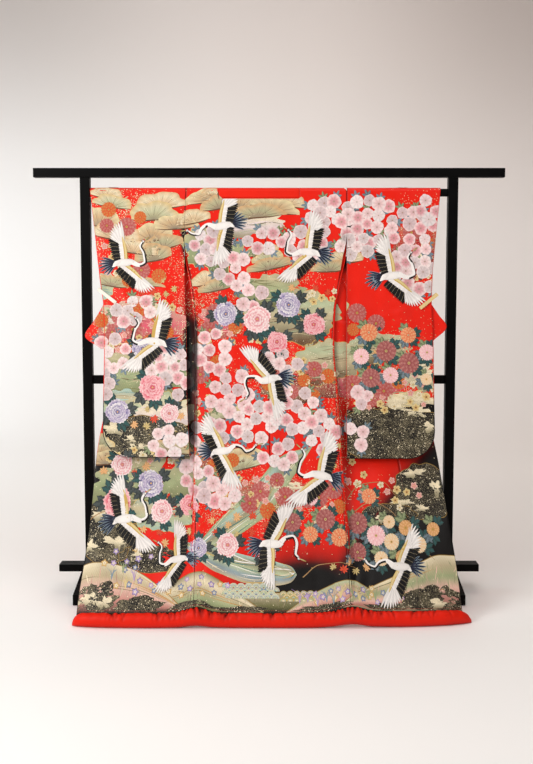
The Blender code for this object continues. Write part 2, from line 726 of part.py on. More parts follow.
def collar():
    """One band: round the back of the neck over the rail, then down both free front edges."""
    rows = []
    keeps = []
    band = sum(BAND_COUNTS)

    def neck_row(make):
        row = []
        for side in ("left", "right"):
            sign = SIGN[side]
            centre = sign * read(CENTRE_BACK, "x", COLLAR_NECK_DROP)
            outer = NECK_EDGE[side] - COLLAR_GAP / 2
            inner = read(BODY[side], "edge", LAPEL_TOP)
            xs = [outer + (inner - outer) * k / band for k in range(band + 1)]
            xs += [inner + (centre - inner) * k / NECK_COLUMNS for k in range(1, NECK_COLUMNS + 1)]
            points = [make(sign * x) for x in xs]
            row += points if side == "left" else points[::-1][1:]
        return row

    def near(height):
        return lambda x: place(x, near_y(height), height)

    def far(height):
        return lambda x: place(x, near_y(height) + layer_gap(height), height)

    full = [True] * (2 * (band + NECK_COLUMNS))
    split = [True] * band + [False] * (2 * NECK_COLUMNS) + [True] * band
    lower_edge = COLLAR_NECK_DROP + COLLAR_GAP
    makers = [near(lower_edge), near(DRAPE_CENTRE)]
    makers += [lambda x, a=angle: over_rail(x, a) for angle in RAIL_ANGLES]
    makers += [far(DRAPE_CENTRE), far(COLLAR_ARCH)]
    for make in makers:
        rows.append(neck_row(make))
        keeps.append(full)
    keeps[-1] = split
    for height in BAND_HEIGHTS:
        row = []
        for side in ("left", "right"):
            sign = SIGN[side]
            line, _, start, total = front_limits(side, height)
            places = stations(start + COLLAR_GAP / 2, total, two_turns(line)[1:], BAND_COUNTS)
            points = [line.point(s) for s in places]
            points = [place(sign * x, y, height) for x, y in points]
            points += [points[-1]] * NECK_COLUMNS
            row += points if side == "left" else points[::-1][1:]
        rows.append(row)
        keeps.append(split)
    return sheet("collar", rows, keeps, "lining")


def sleeve_gap(height, across):
    """Distance between a sleeve's two layers: closed along the outer seam and at the bottom."""
    open_gap = layer_gap(height)
    outer = smoothstep((across - CLOSING_START) / (1.0 - CLOSING_START))
    outer *= 1.0 - smoothstep((height - CUFF_END) / CUFF_EASE)
    return open_gap + (CLOSED_LAYERS - open_gap) * outer


def sleeve_floor(side, across):
    """Height of the sleeve's lower edge, with its rounded outer corner."""
    rows = SLEEVE[side]
    bottom = SLEEVE_BOTTOM[side]
    width = read(rows, "outer", bottom) - read(rows, "inner", bottom)
    inside = max(SLEEVE_CORNER - (1.0 - across) * width, 0.0)
    return bottom + SLEEVE_CORNER - math.sqrt(SLEEVE_CORNER**2 - inside**2)


def sleeve(side):
    """A bag over the rail: open at the cuff and along the inner edge, sewn at the bottom and outer edge."""
    sign = SIGN[side]
    rows = SLEEVE[side]
    bm = bmesh.new()
    rings = []
    for across in SLEEVE_ACROSS:
        floor = min(sleeve_floor(side, across), SLEEVE_BOTTOM[side] + 0.98 * SLEEVE_CORNER)
        near_side = []
        far_side = []
        hanging = [floor + (ARM_SLIT - floor) * up for up in SLEEVE_UP]
        for height in hanging + list(SHOULDER_HEIGHTS[1:]):
            inner = read(rows, "inner", height)
            outer = read(rows, "outer", height)
            x = sign * (inner + (outer - inner) * across)
            gap = sleeve_gap(height, across)
            closing = 1.0 - smoothstep((height - floor) / CLOSING_HEIGHT)
            gap += (CLOSED_LAYERS - gap) * closing
            near_side.append((x, STAND_Y + near_y(height), height))
            far_side.append((x, STAND_Y + near_y(height) + gap, height))
        top = near_side[-1][0]
        arc = [over_rail(top, angle) for angle in RAIL_ANGLES]
        rings.append([bm.verts.new(p) for p in near_side + arc + far_side[::-1]])
    count = len(rings[0])
    for a, b in zip(rings, rings[1:]):
        for k in range(count):
            bm.faces.new((a[k], a[(k + 1) % count], b[(k + 1) % count], b[k]))
    last = rings[-1]
    for k in range(SLEEVE_UP.index(CUFF_CORNER)):
        bm.faces.new((last[k], last[k + 1], last[count - 2 - k], last[count - 1 - k]))
    return wall("sleeve_" + side, bm, "silk")


def tuck(side):
    """The corner of spare sleeve cloth that the peg leaves standing out beside the sleeve."""
    sign = SIGN[side]
    columns = 4
    grid = []
    for height, hidden, outer in zip(*(TUCK[side][name] for name in TUCK_COLUMNS)):
        inner_edge = read(SLEEVE[side], "inner", height)
        outer_edge = read(SLEEVE[side], "outer", height)
        row = []
        for k in range(columns + 1):
            x = hidden + (outer - hidden) * k / columns
            across = min((x - inner_edge) / (outer_edge - inner_edge), 1.0)
            depth = near_y(height) + sleeve_gap(height, across) + WALL + TUCK_GAP
            row.append((sign * x, STAND_Y + depth, height))
        grid.append(row)
    keep = [[True] * columns for _ in range(len(grid) - 1)]
    return sheet("sleeve_tuck_" + side, grid, keep)


def hem_roll():
    """The padded roll at the hem: it lies flat on the floor and is nipped up at the side seams."""
    bm = bmesh.new()
    count = ROLL_SECTIONS
    first, last = ROLL["x"][0], ROLL["x"][-1]
    rings = []
    for i in range(count):
        t = i / (count - 1)
        x = first + (last - first) * (t - ROLL_CROWDING * math.sin(2 * math.pi * t) / (2 * math.pi))
        y = read(ROLL, "y", x, "x")
        lift = read(ROLL, "lift", x, "x")
        radius = read(ROLL, "radius", x, "x")
        ring = []
        for k in range(ROLL_SIDES):
            angle = 2 * math.pi * (k + 0.5) / ROLL_SIDES
            height = radius * ROLL_FLAT * (1 - math.cos(angle) / math.cos(math.pi / ROLL_SIDES))
            ring.append(bm.verts.new((x, STAND_Y + y + radius * math.sin(angle), lift + max(height, 0.0))))
        rings.append(ring)
    for a, b in zip(rings, rings[1:]):
        for k in range(ROLL_SIDES):
            n = (k + 1) % ROLL_SIDES
            bm.faces.new((a[k], a[n], b[n], b[k]))
    bm.faces.new(rings[0])
    bm.faces.new(rings[-1][::-1])
    bmesh.ops.recalc_face_normals(bm, faces=bm.faces)
    item = new_object("hem_roll", bm, "lining")
    item.data.shade_smooth()
    return item


def peg(side):
    """A wooden clothes peg: two legs that grip both layers of the sleeve, joined at the spring."""
    sign = SIGN[side]
    tip = PEG_TIP[side]
    top = PEG_TOP[side]
    length = math.dist(tip, top)
    way = ((top[0] - tip[0]) / length, (top[1] - tip[1]) / length)
    mouth = LAYER_STEP / 2 + WALL / 2 + PEG["play"]
    outer = mouth + PEG["leg"]
    end = PEG["length"]
    handle = outer - PEG_HANDLE["thickness"]
    outline = [
        (0.0, mouth), (PEG["grip"], mouth), (PEG["grip"], -mouth), (0.0, -mouth),
        (0.0, -mouth - PEG_NOSE["lip"]), (PEG_NOSE["length"], -outer), (end, -outer), (end, -handle),
        (PEG["heel"], -PEG_HANDLE["notch"]), (PEG["heel"], PEG_HANDLE["notch"]),
        (end, handle), (end, outer), (PEG_NOSE["length"], outer), (0.0, mouth + PEG_NOSE["lip"]),
    ]
    bm = bmesh.new()
    sides = []
    for half in (-PEG["width"] / 2, PEG["width"] / 2):
        ring = []
        for along, depth in outline:
            x = tip[0] + way[0] * along - way[1] * half
            z = tip[1] + way[1] * along + way[0] * half
            y = near_y(z) + LAYER_STEP / 2 + depth
            ring.append(bm.verts.new((sign * x, STAND_Y + y, z)))
        sides.append(ring)
    bm.faces.new(sides[0])
    bm.faces.new(sides[1][::-1])
    for k in range(len(outline)):
        n = (k + 1) % len(outline)
        bm.faces.new((sides[0][k], sides[1][k], sides[1][n], sides[0][n]))
    bmesh.ops.recalc_face_normals(bm, faces=bm.faces)
    return new_object("peg_" + side, bm, "peg_wood")


def main():
    clear_scene()
    top_rail()
    hang_rail()
    mid_rail()
    lower_rail()
    collar()
    hem_roll()
    for side in ("left", "right"):
        post(side)
        foot(side)
        body_half(side)
        okumi(side)
        sleeve(side)
        tuck(side)
        peg(side)


main()
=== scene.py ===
import math

import bmesh
import bpy
import numpy as np
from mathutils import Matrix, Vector


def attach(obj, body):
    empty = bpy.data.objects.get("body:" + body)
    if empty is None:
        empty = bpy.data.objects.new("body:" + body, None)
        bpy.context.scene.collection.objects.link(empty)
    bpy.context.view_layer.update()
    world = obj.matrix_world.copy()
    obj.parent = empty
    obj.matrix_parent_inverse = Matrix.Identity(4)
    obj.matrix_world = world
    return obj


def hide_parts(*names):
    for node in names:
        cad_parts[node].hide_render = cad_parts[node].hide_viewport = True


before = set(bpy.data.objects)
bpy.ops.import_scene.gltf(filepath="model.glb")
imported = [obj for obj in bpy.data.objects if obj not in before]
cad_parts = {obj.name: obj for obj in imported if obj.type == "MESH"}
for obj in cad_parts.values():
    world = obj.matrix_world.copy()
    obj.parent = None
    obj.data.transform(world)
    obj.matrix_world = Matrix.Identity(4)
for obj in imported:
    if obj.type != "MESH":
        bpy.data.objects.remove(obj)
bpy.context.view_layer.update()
scene = bpy.context.scene
print("frame loaded:", len(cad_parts), "nodes")

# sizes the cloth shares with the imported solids, in metres

standPlane = 0.1393  # the rails' middle plane
rail = {"depth": 0.022, "top": 1.567}
drape = {"wall": 0.003, "clearance": 0.001, "sweep": 0.492, "seam": 0.00005, "open": 0.0004, "collar": 0.0006}
hem = {"height": 0.05, "runTop": 0.45, "riseTop": 0.28, "step": 0.0006}
layers = {"apart": 0.01, "opens": 1.41, "ease": 0.11, "closed": 0.0038}
bothSides = ("left", "right")
sign = {"left": -1.0, "right": 1.0}

drapeRadius = rail["depth"] / 2 + drape["clearance"] + drape["wall"] / 2
drapeCentre = rail["top"] - rail["depth"] / 2
farStart = drapeCentre + math.pi * drapeRadius  # unrolled height where the cloth leaves the rail again

def columns(table):  # written in millimetres, used in metres
    return {key: np.array(values) / 1000 for key, values in table.items()}


def metres(rows, count=4):  # the same for rows whose first values are measures
    return [(*(value / 1000 for value in row[:count]), *row[count:]) for row in rows]


centreRows = columns({"height": (50, 500, 1000, 1530, 1600), "x": (6, 4, -6, -15, -15)})
radiusRows = columns({"height": (50, 550, 950, 1600), "radius": (11, 7, 5, 5)})
bodyRows = {
    "left": columns({
        "height": (50, 110, 190, 310, 430, 550, 690, 800, 950, 1100, 1200, 1290, 1380, 1460, 1500, 1556),
        "side": (266, 266.5, 267.5, 268, 268.5, 269, 271, 272, 274, 283, 295, 311, 326, 322, 320, 317),
        "leg": (6, 10, 14, 18, 23, 27, 31, 36, 46, 68, 99, 134, 168, 180, 185, 182),
        "edge": (682, 679.5, 670, 659, 654.5, 648.5, 629, 595, 530, 450, 395, 340, 262, 175, 135, 135),
    }),
    "right": columns({
        "height": (50, 110, 190, 310, 430, 550, 690, 800, 950, 1100, 1200, 1290, 1400, 1460, 1500, 1556),
        "side": (286, 285, 282, 277, 270, 262, 256, 251, 240, 245, 264, 279, 298, 298, 297.5, 297),
        "leg": (6, 10, 14, 18, 23, 27, 31, 36, 46, 74, 118, 158, 207, 221, 237, 237),
        "edge": (687, 684, 677, 663, 649, 633, 605, 570, 505, 425, 372, 315, 190, 115, 60, 60),
    }),
}
turnDegrees = (12, 26, 46, 72, 102, 130, 155, 170, *[180] * 8)  # how far each front folds back on itself
sleeveRows = {
    "left": columns({
        "height": (563, 660, 767, 1000, 1127, 1188, 1290, 1380, 1460, 1500, 1556),
        "inner": (296, 303, 310, 315, 318, 320.5, 323.5, 326.4, 322.4, 320.4, 317.4),
        "outer": (621.5, 622, 624, 627, 633, 642, 656, 665.5, 674, 678, 684),
    }),
    "right": columns({
        "height": (558, 660, 767, 1000, 1127, 1219, 1290, 1400, 1460, 1500, 1556),
        "inner": (289, 291, 293, 295, 296, 297, 297.5, 298.4, 298.4, 297.9, 297.4),
        "outer": (619.5, 620, 621.5, 624.5, 621, 624, 630, 640.5, 646, 650, 655),
    }),
}
tuckRows = {
    "left": columns({
        "height": (958, 1007, 1066, 1125),
        "hidden": (600, 585, 585, 600),
        "outer": (640, 703, 668, 634),
    }),
    "right": columns({
        "height": (988, 1042, 1086, 1127),
        "hidden": (595, 580, 580, 595),
        "outer": (627, 679, 649, 622),
    }),
}
rollRows = columns({
    "x": (-698, -693, -682, -664, -640, -560, -420, -330, -255, -190, -60, 120, 215, 292, 370, 500, 620, 680,
        706, 722),
    "y": (-456, -458, -461, -465, -469, -476, -479, -479, -478, -478, -478, -478, -476.5, -474, -471, -464,
        -450, -435, -428, -423),
    "lift": (0, 0, 0, 0, 0, 0, 0, 2, 8, 2, 0, 0, 4, 12, 3, 0, 0, 0, 0, 0),
    "radius": (5, 11.5, 17.5, 21.5, 22.8, 23.5, 24, 25, 30.5, 25, 24, 24, 25, 28.5, 25.5, 25, 24.5, 21.5, 15,
        5),
})
front = {
    "lead": 0.003, "underarm": 1.2, "underarmEase": 0.15, "armSlit": 1.38, "lapelTop": 1.5,
    "collarEnd": 0.8, "collarWidth": 0.075, "collarWidens": 1.2, "neckDrop": 1.53, "arch": 1.532,
    "okumi": 0.149, "okumiTip": 1.25, "minStep": 0.0015, "notch": 0.0006,
    "neckEdge": {"left": 0.192, "right": 0.116},
}
sleeveForm = {
    "floor": {"left": 0.563, "right": 0.558}, "corner": 0.1, "cuffEnd": 1.235, "cuffEase": 0.07,
    "cuffCorner": 0.8, "closingStart": 0.72, "closingHeight": 0.06, "tuckGap": 0.0008,
}
rollFlat = 1.08
pegLine = {  # jaw tip and handle end
    "left": ((-0.585, 1.132), (-0.658, 1.188)),
    "right": ((0.576, 1.111), (0.641, 1.163)),
}


def smooth(value):
    t = np.clip(value, 0.0, 1.0)
    return t * t * (3.0 - 2.0 * t)


def curve(xs, ys, samples=700):  # a smooth curve through the points that never overshoots them
    xs, ys = np.array(xs), np.array(ys, dtype=float)
    slope = np.diff(ys) / np.diff(xs)
    tangent = np.zeros(len(xs))
    tangent[0], tangent[-1] = slope[0], slope[-1]
    for k in range(1, len(xs) - 1):
        if slope[k - 1] * slope[k] > 0.0:
            tangent[k] = 2.0 * slope[k - 1] * slope[k] / (slope[k - 1] + slope[k])
    fine = np.linspace(xs[0], xs[-1], samples)
    i = np.clip(np.searchsorted(xs, fine, side="right") - 1, 0, len(xs) - 2)
    span = xs[i + 1] - xs[i]
    t = (fine - xs[i]) / span
    values = (2 * t**3 - 3 * t**2 + 1) * ys[i] + (t**3 - 2 * t**2 + t) * span * tangent[i]
    values += (3 * t**2 - 2 * t**3) * ys[i + 1] + (t**3 - t**2) * span * tangent[i + 1]
    return lambda at: np.interp(at, fine, values)


def curves(table):  # every column of a table as a curve over the first one
    first, *others = table
    return {key: curve(table[first], table[key]) for key in others}


centreX = curves(centreRows)["x"]
turnRadius = curves(radiusRows)["radius"]
rollLine = curves(rollRows)
bodyLine = {side: curves(rows) for side, rows in bodyRows.items()}
sleeveLine = {side: curves(rows) for side, rows in sleeveRows.items()}
tuckLine = {side: curves(rows) for side, rows in tuckRows.items()}
for side in bothSides:
    bodyLine[side]["turn"] = curve(bodyRows[side]["height"], turnDegrees)

# how the hung cloth lies: its sweep to the hem, soft folds and creases

softFolds = [  # spacing across, slant, phase, height
    (0.131, 0.13, 0.4, 0.0013), (0.083, -0.07, 2.1, 0.0007),
    (0.213, 0.24, 1.2, 0.0017), (0.047, 0.03, 5.0, 0.0002),
]
creases = metres([  # from x, z, to x, z, depth (a ridge is negative), half width
    (-655, 1129, -322, 1125, 3.6, 5.2), (-640, 1141, -345, 1136, -2, 9), (292, 703, 560, 696, 2.8, 5),
    (160, 1092, 300, 1060, 3.4, 6.5), (175, 1108, 290, 1082, -1.4, 9), (236, 708, 300, 700, 2.2, 5),
    (-262, 386, 150, 380, 1.1, 4.5), (-150, 366, 210, 371, 0.9, 4), (-120, 955, 90, 962, 0.9, 5),
    (290, 520, 455, 372, -4.2, 20), (330, 470, 560, 330, 4, 18), (300, 440, 420, 290, 3, 14),
    (262, 560, 290, 300, 2.4, 8), (-620, 470, -420, 330, 2.8, 19), (-500, 500, -340, 380, -3, 18),
    (-205, 1515, -285, 1370, 1.8, 11), (135, 1515, 215, 1385, 1.8, 11), (60, 1500, 130, 1430, 1.2, 8),
    (-560, 1105, -470, 985, 3, 11), (-545, 1120, -425, 1075, -2, 12), (-590, 1090, -560, 930, 2.2, 10),
    (550, 1085, 455, 985, 3.2, 11), (535, 1105, 405, 1070, -2.2, 12), (585, 1070, 560, 920, 2.4, 10),
    (560, 1150, 500, 1300, 1.6, 13), (-570, 1175, -520, 1330, 1.6, 13), (-262, 75, -285, 205, 3, 8),
    (-250, 75, -232, 190, 2.6, 7), (-240, 72, -190, 150, 1.8, 8), (-272, 72, -330, 150, 1.8, 8),
    (286, 75, 268, 215, 3, 8), (298, 75, 322, 200, 2.8, 7), (306, 72, 360, 150, 1.8, 8),
    (278, 72, 225, 150, 1.8, 8), (-640, 75, -615, 170, 1.6, 10), (645, 78, 610, 180, 1.6, 10),
], 6)


def toLine(x, z, a, b):  # distance to the line a-b, and how far along it
    dx, dz = b[0] - a[0], b[1] - a[1]
    t = np.clip(((x - a[0]) * dx + (z - a[1]) * dz) / (dx * dx + dz * dz), 0.0, 1.0)
    return np.hypot(x - a[0] - t * dx, z - a[1] - t * dz), t


def ripple(x, z):  # one field for every layer, so that layers keep their distance
    waves = 0.0
    for spacing, slant, phase, height in softFolds:
        sway = phase + 1.4 * np.sin(4.3 * z + phase)
        waves = waves + height * np.sin(2 * np.pi * (x + slant * z) / spacing + sway)
    for k, (x0, z0, x1, z1, depth, width) in enumerate(creases):
        away, along = toLine(x, z, (x0, z0), (x1, z1))
        uneven = 1.0 + 0.3 * np.sin(9.0 * along + 1.7 * k)
        ends = 0.25 + 0.75 * np.sin(np.pi * along) ** 0.7
        waves = waves + depth * uneven * np.exp(-((away / width) ** 2)) * ends
    waves = waves * smooth((1.505 - z) / 0.16) * smooth((z - 0.07) / 0.06)
    for tip, top in pegLine.values():
        waves = waves * smooth((toLine(x, z, tip, top)[0] - 0.014) / 0.04)
    return waves


def seamDip(x, at, depth=0.0006, width=0.003):  # the cloth turns in a little at a seam
    return depth * np.exp(-(((x - at) / width) ** 2))


def nearDepth(z):
    fall = np.maximum(drapeCentre - z, 0.0) / drapeCentre
    return -drapeRadius - drape["sweep"] * fall**2


def layerGap(z):
    opened = smooth((z - layers["opens"]) / layers["ease"])
    return layers["apart"] + (2 * drapeRadius - layers["apart"]) * opened


def hung(x, depth, z):  # a point of cloth in the room; the hem follows the roll
    x, depth, z = np.broadcast_arrays(x, depth, z)
    low = smooth((hem["runTop"] - z) / (hem["runTop"] - hem["height"]))
    run = rollLine["y"](x) - rollLine["y"](0.0)
    rise = 2 * rollLine["radius"](x) * rollFlat + rollLine["lift"](x) + hem["step"] - hem["height"]
    fade = smooth((hem["riseTop"] - z) / (hem["riseTop"] - hem["height"]))
    return np.stack([x, standPlane + depth + run * low**2 + ripple(x, z), z + rise * fade], -1)


def overRail(x, angle, out=0.0):
    x, angle = np.broadcast_arrays(x, angle)
    radius = drapeRadius + out
    return np.stack([x, standPlane + radius * np.sin(angle), drapeCentre + radius * np.cos(angle)], -1)


def frontPlan(side, height):  # plan of one front at one height, from the side seam to the free edge
    line = bodyLine[side]
    sideX, edge = float(line["side"](height)), float(line["edge"](height))
    turn = math.radians(float(line["turn"](height)))
    radius = float(turnRadius(height))
    opened = float(smooth((height - front["underarm"]) / front["underarmEase"]))
    openX = float(sleeveLine[side]["inner"](height))
    openX -= drape["seam"] if height >= front["armSlit"] else drape["open"]
    x = sideX + drape["seam"] + (openX - sideX - drape["seam"]) * opened
    heading = math.pi * opened
    y = float(nearDepth(height) + layerGap(height) * (1.0 - math.cos(heading)) / 2)
    plan = {"at": [0.0], "x": [x], "y": [y], "turns": []}

    def go(kind, size, arc=0.0):
        nonlocal x, y, heading
        steps = 1 if kind == "line" else 24
        length = size if kind == "line" else size * abs(arc)
        if kind == "arc":
            plan["turns"].append((plan["at"][-1], plan["at"][-1] + length))
        for _ in range(steps):
            heading += arc / steps / 2
            chord = length / steps
            if kind == "arc" and abs(arc) > 1e-9:
                chord = 2 * size * math.sin(abs(arc) / steps / 2)
            x += chord * math.cos(heading)
            y += chord * math.sin(heading)
            heading += arc / steps / 2
            plan["at"].append(plan["at"][-1] + length / steps)
            plan["x"].append(x)
            plan["y"].append(y)

    go("line", front["lead"])
    go("arc", radius, turn - heading)
    if height >= front["lapelTop"]:
        go("line", x - edge)
    else:
        movedOut = x - sideX - drape["seam"] - front["lead"] if opened > 0.0 else 0.0
        go("line", float(line["leg"](height)) + movedOut)
        go("arc", radius, -turn)
        go("line", edge - x)
    if len(plan["turns"]) == 1:
        plan["turns"].append((plan["at"][-1], plan["at"][-1]))
    plan["length"] = plan["at"][-1]
    return plan


def collarWidth(side, height):
    if height < front["collarEnd"]:
        return 0.0
    if height >= front["lapelTop"]:
        return front["neckEdge"][side] - float(bodyLine[side]["edge"](height))
    neck = front["neckEdge"][side] - float(bodyLine[side]["edge"](front["lapelTop"]))
    widened = float(smooth((height - front["collarWidens"]) / (front["lapelTop"] - front["collarWidens"])))
    return front["collarWidth"] + (neck - front["collarWidth"]) * widened


def okumiWidth(height):
    if height < front["collarEnd"]:
        return front["okumi"]
    left = max(front["okumiTip"] - height, 0.0) / (front["okumiTip"] - front["collarEnd"])
    return (front["okumi"] - front["collarWidth"]) * left


def frontLimits(side, height):  # the plan, where the body width ends and where the collar starts
    plan = frontPlan(side, height)
    collarStart = plan["length"] - collarWidth(side, height)
    return plan, collarStart - okumiWidth(height), collarStart


def stations(start, end, turns, counts):  # places along the plan, crowded round the turns
    marks = [start] + [mark for span in turns for mark in span] + [end]
    marks = [min(max(mark, start), end) for mark in marks]
    places = [marks[0]]
    for i, count in enumerate(counts):
        places += [marks[i] + (marks[i + 1] - marks[i]) * k / count for k in range(1, count + 1)]
    step = min(front["minStep"], (end - start) / (len(places) - 1) * 0.9)
    for i in range(1, len(places)):
        places[i] = max(places[i], places[i - 1] + step)
    places[-1] = end
    for i in range(len(places) - 2, -1, -1):
        places[i] = min(places[i], places[i + 1] - step)
    places[0] = start
    return np.array(places)


def planPoints(side, plan, places, height):
    x = sign[side] * np.interp(places, plan["at"], plan["x"])
    return hung(x, np.interp(places, plan["at"], plan["y"]), height)


def between(keys, spacing):  # key heights, filled up so that no step is wider than the spacing
    filled = [keys[0]]
    for low, high in zip(keys, keys[1:]):
        count = max(1, math.ceil((high - low) / spacing))
        filled += [low + (high - low) * k / count for k in range(1, count + 1)]
    return filled


def crowded(count):  # 0 to 1, closer together at both ends
    t = np.linspace(0.0, 1.0, count + 1)
    return 0.45 * t + 0.55 * (0.5 - 0.5 * np.cos(np.pi * t))


print("drape ready")

# inks and the ground colour of the cloth


def ink(code):  # a colour written in hex, as the linear numbers the shaders take
    parts = [int(code[i:i + 2], 16) / 255 for i in (1, 3, 5)]
    return np.array([c / 12.92 if c < 0.04045 else ((c + 0.055) / 1.055) ** 2.4 for c in parts])


inks = {name: ink(code) for name, code in {
    "red": "#db1b08", "lining": "#de1d05", "wine": "#4f100c", "black": "#0d0a0a", "soot": "#1d1713",
    "white": "#ece6e2", "cream": "#ddcfb0", "gold": "#bf9d52", "paleGold": "#d3be86", "oldGold": "#8f7138",
    "blush": "#ecccca", "petal": "#eedcd9", "pink": "#e09fa3", "rose": "#cf5267", "greyPink": "#a88787",
    "plum": "#84303a", "crimson": "#a3262d", "orange": "#dc5226", "apricot": "#dfae80", "lilac": "#ab93b8",
    "violet": "#6d6591", "navy": "#242943", "blueGrey": "#7d8f99", "teal": "#3d6f6d", "paleTeal": "#9bb5aa",
    "sage": "#96a077", "olive": "#67663f", "moss": "#47523a", "slate": "#2b302f", "brown": "#64452f",
    "tan": "#a47f55", "beige": "#b8a987", "mistGreen": "#aab391", "shell": "#d6ac9d", "beak": "#c4b57e",
    "crown": "#b81616", "mauve": "#d3c2c1", "drab": "#8d8468", "soil": "#3b2b20", "ochre": "#bb8440",
    "dustyRose": "#b77a70",
}.items()}


def blend(a, b, share):
    share = np.asarray(share)[..., None]
    return a * (1.0 - share) + b * share


# painted shade along the seams and in the arm slits
paintedSeamAndSlitShade = {"halfWidth": 0.0022, "dark": 0.8, "faint": 0.45, "slitFrom": 1.235, "slitEase": 0.045}


def bySide(x, z, table, key):  # a line of the left or the right half, whichever the point lies in
    return np.where(x < 0, table["left"][key](z), table["right"][key](z))


def slitShade(kind, x, z):  # painted shade: how deep a point lies in the shadow of an arm slit
    high = smooth((z - paintedSeamAndSlitShade["slitFrom"]) / paintedSeamAndSlitShade["slitEase"])
    away = np.abs(x)
    if kind == "body":
        return high * smooth((away - bySide(x, z, bodyLine, "side") - 0.001) / 0.003)
    if kind == "plain":
        return high * smooth((away - 0.262) / 0.008)
    inside = np.exp(-(((away - bySide(x, z, sleeveLine, "inner")) / 0.02) ** 2))
    return high * inside if kind == "sleeve" else np.zeros(np.shape(x))


def seamShade(kind, x, z):  # painted shade where the cloth turns into a seam, fainter along the front overlap
    lines = [bySide(x, z, sleeveLine, "inner")] if kind == "sleeve" else []
    if kind == "body":
        side = bySide(x, z, bodyLine, "side")
        overlap = np.maximum(bySide(x, z, bodyLine, "edge") - front["okumi"], side)
        lines = [side, np.where(x < 0, -1.0, 1.0) * centreX(z), overlap]
    dark = np.zeros(np.shape(x))
    for line, strength in zip(lines, (1.0, 1.0, paintedSeamAndSlitShade["faint"])):
        dark = np.maximum(dark, strength * np.exp(-(((np.abs(x) - line) / paintedSeamAndSlitShade["halfWidth"]) ** 2)))
    return dark * paintedSeamAndSlitShade["dark"]


# painted shade beside the sleeves, where the cloth hangs back in its own shadow
paintedHollowShade = metres([  # from x, to x, foot, top, how dark
    (-420, -264, 580, 840, 0.8), (-420, -266, 760, 1110, 0.94), (274, 298, 1345, 1415, 0.85),
])


def hollowLight(x, z):
    light = np.ones(np.broadcast(x, z).shape)
    for left, right, foot, top, dark in paintedHollowShade:
        across = smooth((x - left) / 0.008) * smooth((right - x) / 0.01)
        light = np.minimum(light, 1.0 - dark * across * smooth((z - foot) / 0.05) * smooth((top - z) / 0.06))
    return light


def groundTint(kind, x, z, near=1.0):  # dyed ground of the silk, with painted shade at seams, in the slits and beside the sleeves, and how much gold leaf lies on it
    x, z = np.broadcast_arrays(x, z)
    tint = np.broadcast_to(inks["red"], x.shape + (3,))
    if kind == "plain":
        return np.broadcast_to(inks["lining"], x.shape + (3,)), np.zeros(x.shape)
    gold = np.zeros(x.shape)
    for gx, gz, wide, high, dense in goldDrifts:
        gold = np.maximum(gold, dense * np.exp(-((x - gx) / wide) ** 2 - ((z - gz) / high) ** 2))
    wine = smooth((x - 0.9 * z + 0.03) / 0.2) * smooth((0.66 - z) / 0.06)
    wine = np.maximum(wine, smooth((-x - 0.44 - 0.1 * z) / 0.14) * smooth((0.6 - z) / 0.08))
    # dyed dark ground, plus painted shade in the recesses beside the sleeves and in the arm slits
    for gx, gz, wide, high, dark, slit in wineDyeAndPaintedShade:
        spot = dark * np.exp(-(((x - gx) / wide) ** 2) - ((z - gz) / high) ** 2)
        wine = np.maximum(wine, spot * near if slit else spot)
    if kind == "sleeve":
        wine = np.maximum(wine, smooth((0.775 - z + 0.1 * (np.abs(x) - 0.46)) / 0.05))
    tint = blend(tint, inks["wine"], np.clip(wine * 1.7, 0.0, 1.0))
    tint = blend(tint, inks["black"], smooth((wine - 0.35) / 0.45))
    tint = blend(tint, inks["soil"], smooth((0.125 - z) / 0.02))
    # painted shade along the seams
    tint = tint * (1.0 - seamShade(kind, x, z))[..., None]
    # painted shade beside the sleeves
    if kind != "sleeve":
        light = hollowLight(x, z)
        tint, gold = tint * light[..., None], gold * light
    return tint, gold


goldDrifts = metres([  # x, z, half width, half height, how dense
    (-600, 1460, 160, 120, 0.55), (-470, 1020, 200, 100, 0.6), (600, 1350, 100, 140, 0.5),
    (-200, 1100, 160, 100, 0.5), (520, 840, 160, 120, 0.55), (70, 860, 200, 60, 0.4),
    (-50, 400, 260, 90, 0.55), (140, 900, 100, 100, 0.35), (-200, 520, 120, 80, 0.45),
    (100, 1260, 100, 80, 0.3), (-360, 1300, 60, 100, 0.25), (-300, 980, 50, 200, 0.1),
    (270, 700, 50, 180, 0.35),
])
wineDyeAndPaintedShade = metres([  # x, z, half width, half height, how dark, in an arm slit; the first row is dyed dark ground, the rest painted shade in the recesses beside the sleeves and in the arm slits
    (140, 135, 200, 85, 1.1, False), (-312, 860, 24, 240, 1.0, False), (-312, 620, 24, 200, 1.0, False),
    (300, 800, 20, 300, 0.3, False), (302, 1400, 16, 60, 1.3, True), (-325, 1380, 12, 60, 1.2, True),
])

# materials


